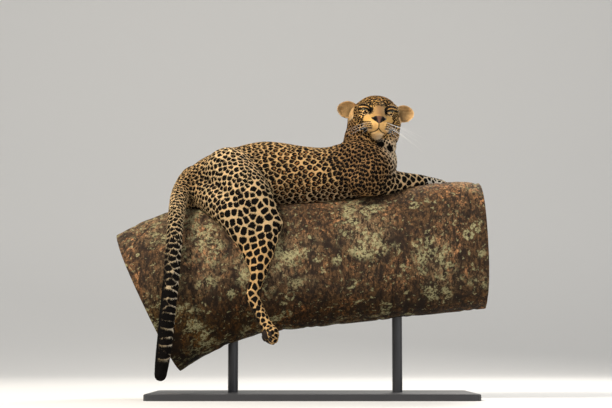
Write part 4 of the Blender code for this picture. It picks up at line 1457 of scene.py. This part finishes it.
ROSETTE_TINT = (0.50, 0.34, 0.24, 1)
BLACK_FUR = (0.0012, 0.0010, 0.0009, 1)
BROWNISH_FUR = (0.0060, 0.0042, 0.0032, 1)
BLACK_LEATHER = (0.006, 0.005, 0.0045, 1)
PINK_LEATHER = (0.150, 0.072, 0.045, 1)


def coat_material():
    """Fur: a ground colour with black spots. A spot starts a gap inside its cell's edge, and a weaker one
    further in. Where the coat isn't solid its middle is rusty, and the ring round that is broken here and
    there."""
    n = Nodes("leopard_coat")
    ground = n.attribute("coat_ground", "Color")
    edge, chance, strand = n.split(n.attribute("coat_edge"))
    gap, solid, strength = n.split(n.attribute("coat_shape"))
    gap = n.plus(gap, n.times(n.minus(1.0, strength), 0.65))
    black, bare, tone = n.split(n.attribute("coat_marks"))
    around = n.object_place

    ragged = n.times(n.minus(n.noise(around, 280.0, 2.0), 0.5), 0.12)
    uneven = n.times(n.minus(n.noise(around, 110.0, 1.0), 0.5), 0.13)
    edge = n.plus(edge, n.plus(ragged, uneven))
    outer = n.step(edge, n.minus(gap, 0.022), n.plus(gap, 0.022))
    core = n.plus(n.plus(gap, 0.070), n.times(solid, 0.42))
    core = n.plus(core, n.times(chance, 0.16))
    middle = n.step(edge, n.minus(core, 0.025), n.plus(core, 0.025))
    breaks = n.plus(n.noise(around, 85.0, 1.0), n.times(solid, 0.30))
    whole = n.step(breaks, 0.42, 0.47)
    ring = n.times(n.times(outer, n.minus(1.0, middle)), whole)
    spots = n.maths("MAXIMUM", ring, black, clamp=True)

    base = n.blend(outer, ground, n.tinted(ground, ROSETTE_TINT))
    patchy = n.plus(0.82, n.times(n.noise(around, 18.0, 2.0), 0.36))
    each = n.plus(0.80, n.times(strand, 0.40))
    base = n.tinted(base, n.times(patchy, each))
    fur = n.blend(spots, base, n.blend(strand, BLACK_FUR, BROWNISH_FUR))
    leather = n.blend(tone, BLACK_LEATHER, PINK_LEATHER)
    n.set(Base_Color=n.blend(bare, fur, leather))
    n.set(Roughness=n.minus(0.75, n.times(bare, 0.32)), Specular_IOR_Level=0.10)
    n.bump(n.noise(around, 900.0, 2.0, 0.7), 0.0008, 0.5)
    return n.material


def plain_material(
    name, colour, roughness, grain=0.0, grain_scale=60.0, bump=0.0, bump_scale=400.0, **more
):
    """A finish with one colour varied by a soft grain, and a fine bump."""
    n = Nodes(name)
    around = n.object_place
    shade = n.plus(1 - grain, n.times(n.noise(around, grain_scale, 3.0), 2 * grain))
    n.set(Base_Color=n.tinted((*colour, 1), shade), Roughness=roughness, **more)
    if bump:
        n.bump(n.noise(around, bump_scale, 2.0), bump, 0.6)
    return n.material


DARK_AMBER = (0.12, 0.085, 0.015, 1)
PALE_AMBER = (0.42, 0.33, 0.08, 1)
IRIS_RING = (0.02, 0.014, 0.008, 1)
PUPIL = (0.002, 0.002, 0.002, 1)


def eye_material():
    """The eye by its angle from the gaze: a round pupil, an amber iris with radial streaks, a dark ring."""
    n = Nodes("leopard_eye")
    angle = n.attribute("eye_angle", "Fac")
    streaks = n.noise(n.attribute("eye_place"), 9.0, 3.0)
    iris = n.blend(streaks, DARK_AMBER, PALE_AMBER)
    iris = n.blend(n.step(angle, 0.50, 0.66), iris, IRIS_RING)
    n.set(Base_Color=n.blend(n.step(angle, 0.16, 0.20), PUPIL, iris))
    n.set(Roughness=0.06, Coat_Weight=0.8, Coat_Roughness=0.02)
    return n.material


DARK_BARK = (0.100, 0.054, 0.024, 1)
PALE_BARK = (0.225, 0.145, 0.075, 1)
RUSTY_BARK = (0.360, 0.172, 0.075, 1)
# dark cracks, partly the bark's own fissures and partly painted shade in the bump's hollows
CRACK_AND_HOLLOW_SHADE = (0.018, 0.011, 0.007, 1)
PIT = (0.020, 0.013, 0.009, 1)
SEAM = (0.016, 0.010, 0.007, 1)
# painted shade for the deep places of the bark's relief
RECESS_SHADE = (0.020, 0.012, 0.008, 1)
# painted shade for the bough's underside, also tinted greener
UNDERSIDE_SHADE_TINT = (0.48, 0.38, 0.16, 1)
# painted sunlight: the tint that brightens the top of the bough
SUNNY_TINT = (1.85, 1.78, 1.70, 1)
# painted highlight for the raised crests of the bump
RAISED_HIGHLIGHT_TINT = (2.25, 2.05, 1.75, 1)
DARK_LICHEN = (0.13, 0.120, 0.045, 1)
PALE_LICHEN = (0.54, 0.49, 0.27, 1)
DARK_WOOD = (0.42, 0.28, 0.16, 1)
PALE_WOOD = (0.55, 0.39, 0.23, 1)
YEAR_RING = (0.25, 0.15, 0.08, 1)
RING_TURN = 230.0


def flaky_bark(n, around, squeezed, fine):
    """Brown flakes, some of them rusty, with dark cracks that are partly painted shade in the bump's hollows,
    pits and seams;
    painted highlights on the bump's crests, painted shade in the relief's deep places, painted shade with a
    greener tint low down, and painted sunlight on top. Gives the colour and a value for each flake."""
    wavy = n.vector("ADD", squeezed, n.vector("SCALE", n.noise(around, 90.0, 3.0, output="Color"), 0.022))
    flake, other, _ = n.split(n.cells(wavy, 165.0, output="Color"))
    seams = n.step(n.cells(wavy, 165.0, "DISTANCE_TO_EDGE"), 0.10, 0.02)
    brown = n.blend(n.step(n.noise(around, 4.5, 3.0, 0.55), 0.40, 0.62), DARK_BARK, PALE_BARK)
    rust = n.times(n.step(n.noise(around, 8.0, 3.0), 0.44, 0.60), n.step(flake, 0.50, 0.85))
    brown = n.blend(n.times(rust, 0.85), brown, RUSTY_BARK)
    brown = n.tinted(brown, n.plus(0.50, n.times(other, 0.80)))
    # dark where the fine bump sinks: partly the bark's own cracks, partly painted shade
    brown = n.blend(n.step(fine, 0.55, 0.38), brown, CRACK_AND_HOLLOW_SHADE)
    # painted highlight where the fine bump stands highest
    brown = n.blend(n.step(fine, 0.58, 0.72), brown, n.tinted(brown, RAISED_HIGHLIGHT_TINT))
    pits = n.step(n.noise(squeezed, 40.0, 3.0, 0.6), 0.49, 0.40)
    brown = n.blend(n.times(pits, 0.75), brown, PIT)
    brown = n.blend(n.times(seams, 0.5), brown, SEAM)
    # painted shade in the deep places of the bark's relief
    brown = n.blend(n.step(n.attribute("bark_relief", "Fac"), 0.46, 0.16), brown, RECESS_SHADE)
    _, _, high = n.split(around)
    # painted shade: the bough darker and greener low down
    low = n.step(n.plus(high, n.times(n.noise(around, 6.0, 3.0), 0.12)), 0.45, 0.28)
    brown = n.blend(low, brown, n.tinted(brown, UNDERSIDE_SHADE_TINT))
    # painted sunlight: the top of the bough made brighter
    return n.blend(n.step(high, 0.59, 0.67), brown, n.tinted(brown, SUNNY_TINT)), flake


def lichen(n, around):
    """Where lichen grows: speckled crusts in clusters, hoops round cells' middles, and scattered flecks."""
    where = n.step(n.noise(around, 4.6, 2.0), 0.46, 0.54)
    crusts = n.step(n.noise(around, 26.0, 5.0, 0.68), 0.49, 0.56)
    specks = n.step(n.noise(around, 130.0, 3.0, 0.7), 0.42, 0.55)
    clusters = n.times(n.times(where, crusts), specks)
    shaken = n.vector("ADD", around, n.vector("SCALE", n.noise(around, 30.0, 2.0, output="Color"), 0.03))
    from_middle = n.cells(shaken, 17.0)
    hoop = n.times(n.step(from_middle, 0.16, 0.22), n.step(from_middle, 0.38, 0.31))
    hoop = n.times(n.times(hoop, n.step(n.noise(around, 7.0, 1.0), 0.52, 0.58)), specks)
    flecks = n.times(n.step(n.noise(around, 62.0, 4.0, 0.7), 0.60, 0.65), 0.8)
    return n.maths("MAXIMUM", n.maths("MAXIMUM", clusters, hoop), flecks)


def cut_wood(n, around):
    """Pale wood with a dark ring for each year, by the cosine of the distance from the middle."""
    wood = n.blend(n.cells(around, 30.0), DARK_WOOD, PALE_WOOD)
    years = n.maths("COSINE", n.times(n.attribute("bark_ring", "Fac"), RING_TURN))
    return n.blend(n.plus(0.35, n.times(years, 0.35)), wood, YEAR_RING)


def bark_material():
    """Bark with crusts of lichen, and pale wood on the cut ends."""
    n = Nodes("bark")
    around = n.object_place
    squeezed = n.vector("MULTIPLY", around, (1.0, 0.55, 0.55))
    fine = n.noise(squeezed, 120.0, 4.0, 0.72)
    brown, flake = flaky_bark(n, around, squeezed, fine)
    bark = n.blend(n.times(lichen(n, around), 0.85), brown, n.blend(fine, DARK_LICHEN, PALE_LICHEN))
    bark = n.blend(n.attribute("bark_cut", "Fac"), bark, cut_wood(n, around))
    n.set(Base_Color=bark, Roughness=0.90, Specular_IOR_Level=0.18)
    height = n.plus(n.plus(fine, n.times(flake, 0.35)), n.times(n.noise(around, 190.0, 3.0, 0.7), 0.5))
    n.bump(height, 0.0040, 0.85)
    return n.material


# small pieces


CORNEA_RISE = 0.030
CORNEA_SPREAD = 0.55
WHISKER_RADIUS = 0.00034
LID_RIM_RADIUS = 0.0007


def make_eyes(material):
    """Each eye is a sphere whose front swells a little, as a cornea does."""
    for side, out in SIDES.items():
        gaze, corner, up = eye_axes(out)
        ball, faces = egg((0, 0, 0), (1, 1, 1), gaze, up, 48, 32)
        angle = np.arccos(np.clip(ball @ gaze, -1, 1))
        swell = 1 + CORNEA_RISE * mound((angle, 0, CORNEA_SPREAD))
        local = ball * EYE_RADIUS * swell[:, None] * 0.985
        points = head_to_world(local + eye_centre(out))
        piece = make_piece(f"eyeball_{side}", points, faces, "eye", material)
        turn = np.arctan2(ball @ up, ball @ corner)
        set_attribute(piece.data, "eye_angle", "FLOAT", angle)
        spread = np.column_stack([np.cos(turn), np.sin(turn), angle * 0.15])
        set_attribute(piece.data, "eye_place", "FLOAT_VECTOR", spread)
        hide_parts(f"eye_{side}")


def make_lid_rims(material):
    """A fine dark rim along the edge of each eye's opening."""
    for side, out in SIDES.items():
        loop = slit_outline(out, 44)
        columns = 8
        heading = unit(np.roll(loop, -1, axis=0) - np.roll(loop, 1, axis=0))
        away = unit(loop - eye_centre(out))
        side_way = np.cross(heading, away)
        around = turns(columns)[None, :, None]
        turned = np.cos(around) * away[:, None] + np.sin(around) * side_way[:, None]
        ring = loop[:, None] + LID_RIM_RADIUS * turned
        faces = grid_faces(len(loop) + 1, columns) % (len(loop) * columns)
        make_piece(f"lid_rim_{side}", head_to_world(ring.reshape(-1, 3)), faces, "coat", material)


def make_whiskers(material):
    """White whiskers from the pads: each a tapered hair that leaves the pad along a line and droops from it
    by the square of the way along. Those on the animal's left side are longer and thicker."""
    for side, out in SIDES.items():
        size = 1.0 if side == "left" else 0.6
        forms = []
        for row in range(4):
            for place in range(4 if row < 3 else 2):
                share = place / 3
                root = np.array((0.0900 - 0.022 * share, 0.0165 + 0.019 * share, -0.0275 - 0.0058 * row))
                long = (0.055 + 0.065 * share) * rng.uniform(0.85, 1.15) * size
                way = unit((0.15 + 0.45 * (1 - share), out * (0.95 + 0.1 * share), -0.22 - 0.13 * row))
                way = unit(way + rng.normal(0, 0.06, 3))
                t = np.linspace(0, 1, 9)[:, None]
                droop = np.array((-0.20, 0.0, -0.16)) * long
                line = root * (1, out, 1) - way * 0.004 + way * long * t + droop * t**2
                ring = carried_ring(head_to_world(line), WHISKER_RADIUS * size * (1 - 0.75 * t[:, 0]), 5)
                forms.append((ring, grid_faces(9, 5)))
        make_piece(f"whiskers_{side}", *merged(forms), "coat", material)


def make_pads(material):
    """Dark pads under each paw: one of the palm and one for each toe, each a flat egg."""
    forms = []
    for side in SIDES:
        for ankle, toe, up, width in (hind_foot(side), fore_foot(side)):
            ahead, across, up, reach = paw_axes(ankle, toe, up)
            palm = ankle + ahead * reach * 0.50 - up * width * 0.215
            forms.append(egg(palm, (0.0150, 0.0190, 0.0055), ahead, up, 20, 12))
            for middle in toe_middles(ankle, ahead, across, reach, width):
                forms.append(egg(middle - up * width * 0.175, (0.0105, 0.0070, 0.0040), ahead, up, 16, 10))
    make_piece("paw_pads", *merged(forms), "coat", material)


def lattice(points, scale, seed):
    """Smooth noise: random values on a lattice of cubes, blended with the cubic 3t^2 - 2t^3 on each axis."""
    values = np.random.default_rng(seed).random((64, 64, 64))
    p = points * scale
    cell = np.floor(p).astype(int)
    t = p - cell
    t = t * t * (3 - 2 * t)
    total = 0
    for i in (0, 1):
        for j in (0, 1):
            for k in (0, 1):
                share = np.abs(1 - i - t[..., 0]) * np.abs(1 - j - t[..., 1]) * np.abs(1 - k - t[..., 2])
                corner = (cell + (i, j, k)) % 64
                total = total + share * values[corner[..., 0], corner[..., 1], corner[..., 2]]
    return total


BARK_ROWS = 330
BARK_COLUMNS = 250
BARK_RELIEF = 0.0055
CUT_RINGS = 26
CUT_DEPTH = 0.0018
CUT_GRAIN = 0.0012
RING_BEND = 0.030


def bark_relief(surface):
    """How high the bark stands, from nought to one: plates of two sizes, with cracks along the lines where a
    noise passes through its middle value."""
    plates = lattice(surface * (1.0, 0.55, 0.55), 42.0, 3) + 0.5 * lattice(surface, 105.0, 4)
    cracks = np.abs(lattice(surface * (1.0, 0.45, 0.45), 26.0, 5) - 0.5)
    return np.clip(0.45 * plates / 1.5 + 1.6 * np.minimum(cracks, 0.18) / 0.18 * 0.34, 0, 1)


def cut_end(rim, middle, ahead):
    """A flat cut: the rim drawn in to the middle in even rings, set back a little and rough with grain. Gives
    its points, the ring each lies on, bent by a slow noise, and whether it is bare wood."""
    inwards = np.linspace(0.985, 0.004, CUT_RINGS)
    flat = middle + (rim - middle)[None] * inwards[:, None, None]
    grain = lattice(flat, 90.0, 8) - 0.5
    flat = flat - ahead * (CUT_DEPTH + CUT_GRAIN * grain)[..., None]
    ring = inwards[:, None] + RING_BEND * lattice(flat, 12.0, 9)
    return flat.reshape(-1, 3), ring.ravel(), np.repeat((inwards < 0.955).astype(float), len(rim))


def cut_faces(edge, start, columns):
    """Quads that join the bark's edge to a cut's first ring, its rings to each other, and its last ring
    across itself."""
    first = np.arange(columns)
    after = (first + 1) % columns
    seam = np.stack([edge + first, edge + after, start + after, start + first], axis=-1)
    half = np.arange(columns // 2 - 1)
    last = start + (CUT_RINGS - 1) * columns
    far = last + columns - 1 - half
    closing = np.stack([last + half, last + half + 1, far - 1, far], axis=-1)
    return np.vstack([seam, grid_faces(CUT_RINGS, columns) + start, closing])


def make_bough(material):
    """The bough: a circle carried along its bent line, its radius changed by slow lumps, long swells and the
    plates and cracks of the bark. The ends are flat cuts that run in to the middle."""
    rows, columns = BARK_ROWS, BARK_COLUMNS
    stops = smooth_rows([(*place, share) for place, share in BOUGH_LINE], rows)
    line, share = stops[:, :3], stops[:, 3:4]
    heading = unit(np.gradient(line, axis=0))
    side = np.array((0.0, 1.0, 0.0))
    up = np.cross(heading, side)
    up *= np.sign(up[:, 2:3])
    around = turns(columns)[None, :]
    station = np.linspace(0, 1, rows)[:, None]
    radius = BOUGH_RADIUS * share * (1 + bough_lumps(around, station))
    ray = np.cos(around)[..., None] * side + np.sin(around)[..., None] * up[:, None, :]
    surface = line[:, None, :] + radius[..., None] * ray
    relief = bark_relief(surface)
    surface = surface + ray * ((relief - 0.62) * BARK_RELIEF)[..., None]

    points, faces = [surface.reshape(-1, 3)], [grid_faces(rows, columns)]
    nought = np.zeros(relief.size)
    values = {"bark_relief": [relief.ravel()], "bark_cut": [nought], "bark_ring": [nought]}
    for number, (end, ahead) in enumerate(((0, -heading[0]), (rows - 1, heading[-1]))):
        flat, ring, bare = cut_end(surface[end], line[end], ahead)
        group = cut_faces(end * columns, relief.size + number * CUT_RINGS * columns, columns)
        points.append(flat)
        faces.append(group[:, ::-1] if end == 0 else group)
        values["bark_relief"].append(np.full(len(flat), 0.6))
        values["bark_cut"].append(bare)
        values["bark_ring"].append(ring)
    piece = make_piece("bough_bark", np.vstack(points), np.vstack(faces), "bark", material)
    for name, parts in values.items():
        set_attribute(piece.data, name, "FLOAT", np.concatenate(parts))
    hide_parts("perch_bough")


# the stage


def make_floor():
    """A pale floor that curves up far behind: a profile of depth and height, carried from side to side."""
    depth = (-6.0, 0.0, 3.0, 5.0, 6.5, 7.4, 7.9, 8.0)
    height = (0.0, 0.0, 0.0, 0.06, 0.45, 1.3, 2.8, 6.0)
    rows, columns, half_width = 40, 12, 9
    profile = smooth_rows(np.column_stack([depth, height]), rows)
    across, back = np.meshgrid(np.linspace(-half_width, half_width, columns), profile[:, 0])
    rise = np.repeat(np.maximum(profile[:, 1], 0), columns)
    points = np.column_stack([across.ravel(), back.ravel(), rise])
    row, column = np.meshgrid(np.arange(rows - 1), np.arange(columns - 1), indexing="ij")
    here = (row * columns + column).ravel()
    faces = np.stack([here, here + 1, here + columns + 1, here + columns], axis=-1)
    floor = linked("floor", make_mesh("floor", points, faces))
    floor.data.materials.append(plain_material("pale_floor", (0.78, 0.77, 0.75), 0.7))


def aimed(name, data, place, aim):
    """A lamp or a camera that looks from its place at its aim."""
    held = linked(name, data)
    held.location = place
    held.rotation_euler = (Vector(aim) - Vector(place)).to_track_quat("-Z", "Y").to_euler()
    return held


def make_lights():
    """A soft sky all round and three soft lamps."""
    bpy.context.scene.view_settings.view_transform = "Standard"
    world = bpy.data.worlds.new("studio")
    bpy.context.scene.world = world
    world.use_nodes = True
    sky = world.node_tree.nodes["Background"].inputs
    sky["Color"].default_value = SKY_COLOUR
    sky["Strength"].default_value = SKY_STRENGTH
    for name, place, aim, size, power, colour in LIGHTS:
        light = bpy.data.lights.new(name, "AREA")
        light.size = size
        light.energy = power
        light.color = colour
        aimed(name, light, place, aim)


def make_camera():
    """A long lens low in front, as the photograph was taken."""
    camera = bpy.data.cameras.new("camera")
    camera.lens = CAMERA_LENS
    camera.sensor_width = CAMERA_SENSOR
    bpy.context.scene.camera = aimed("camera", camera, CAMERA_PLACE, CAMERA_AIM)


def paint_stand():
    """The stand keeps its solids and is satin black."""
    black = plain_material("satin_black", (0.030, 0.030, 0.033), 0.42, 0.10, 25, 0.00015, 900)
    for name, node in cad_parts.items():
        if name.startswith("stand"):
            node.data.materials.clear()
            node.data.materials.append(black)


def dress_leopard(fur):
    """The two skins with their spots, in place of the flesh's solids, and the fur on them."""
    skins = {name: Skin(points, faces) for name, (points, faces) in zip(("body", "head"), leopard_skins())}
    coat = {key: np.concatenate([skin.coat[key] for skin in skins.values()]) for key in SPOT_KEYS}
    spots = Spots(np.vstack([skin.points for skin in skins.values()]), coat)
    count = len(skins["body"].points)
    skins["body"].centres, skins["head"].centres = spots.which[:count], spots.which[count:]
    pieces = {name: skin.dressed("skin_" + name, spots, fur) for name, skin in skins.items()}
    flesh = [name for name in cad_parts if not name.startswith(("stand", "perch", "eye_"))]
    in_head = [name for name in flesh if name in ("head", "ear_left", "ear_right")]
    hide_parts(*in_head)
    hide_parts(*[name for name in flesh if name not in in_head])
    dress_in_tufts(skins, spots, fur)


def main():
    make_camera()
    make_floor()
    make_lights()
    fur = coat_material()
    leather = plain_material("dark_leather", (0.009, 0.007, 0.006), 0.55, 0.2, 120, 0.0004, 700)
    pad_skin = plain_material(
        "pad_leather", (0.026, 0.019, 0.016), 0.9, 0.3, 90, 0.0012, 420, Specular_IOR_Level=0.12
    )
    white_hair = plain_material("whisker", (0.86, 0.84, 0.80), 0.35)

    dress_leopard(fur)
    make_eyes(eye_material())
    make_lid_rims(leather)
    make_whiskers(white_hair)
    make_pads(pad_skin)
    make_bough(bark_material())
    paint_stand()


main()
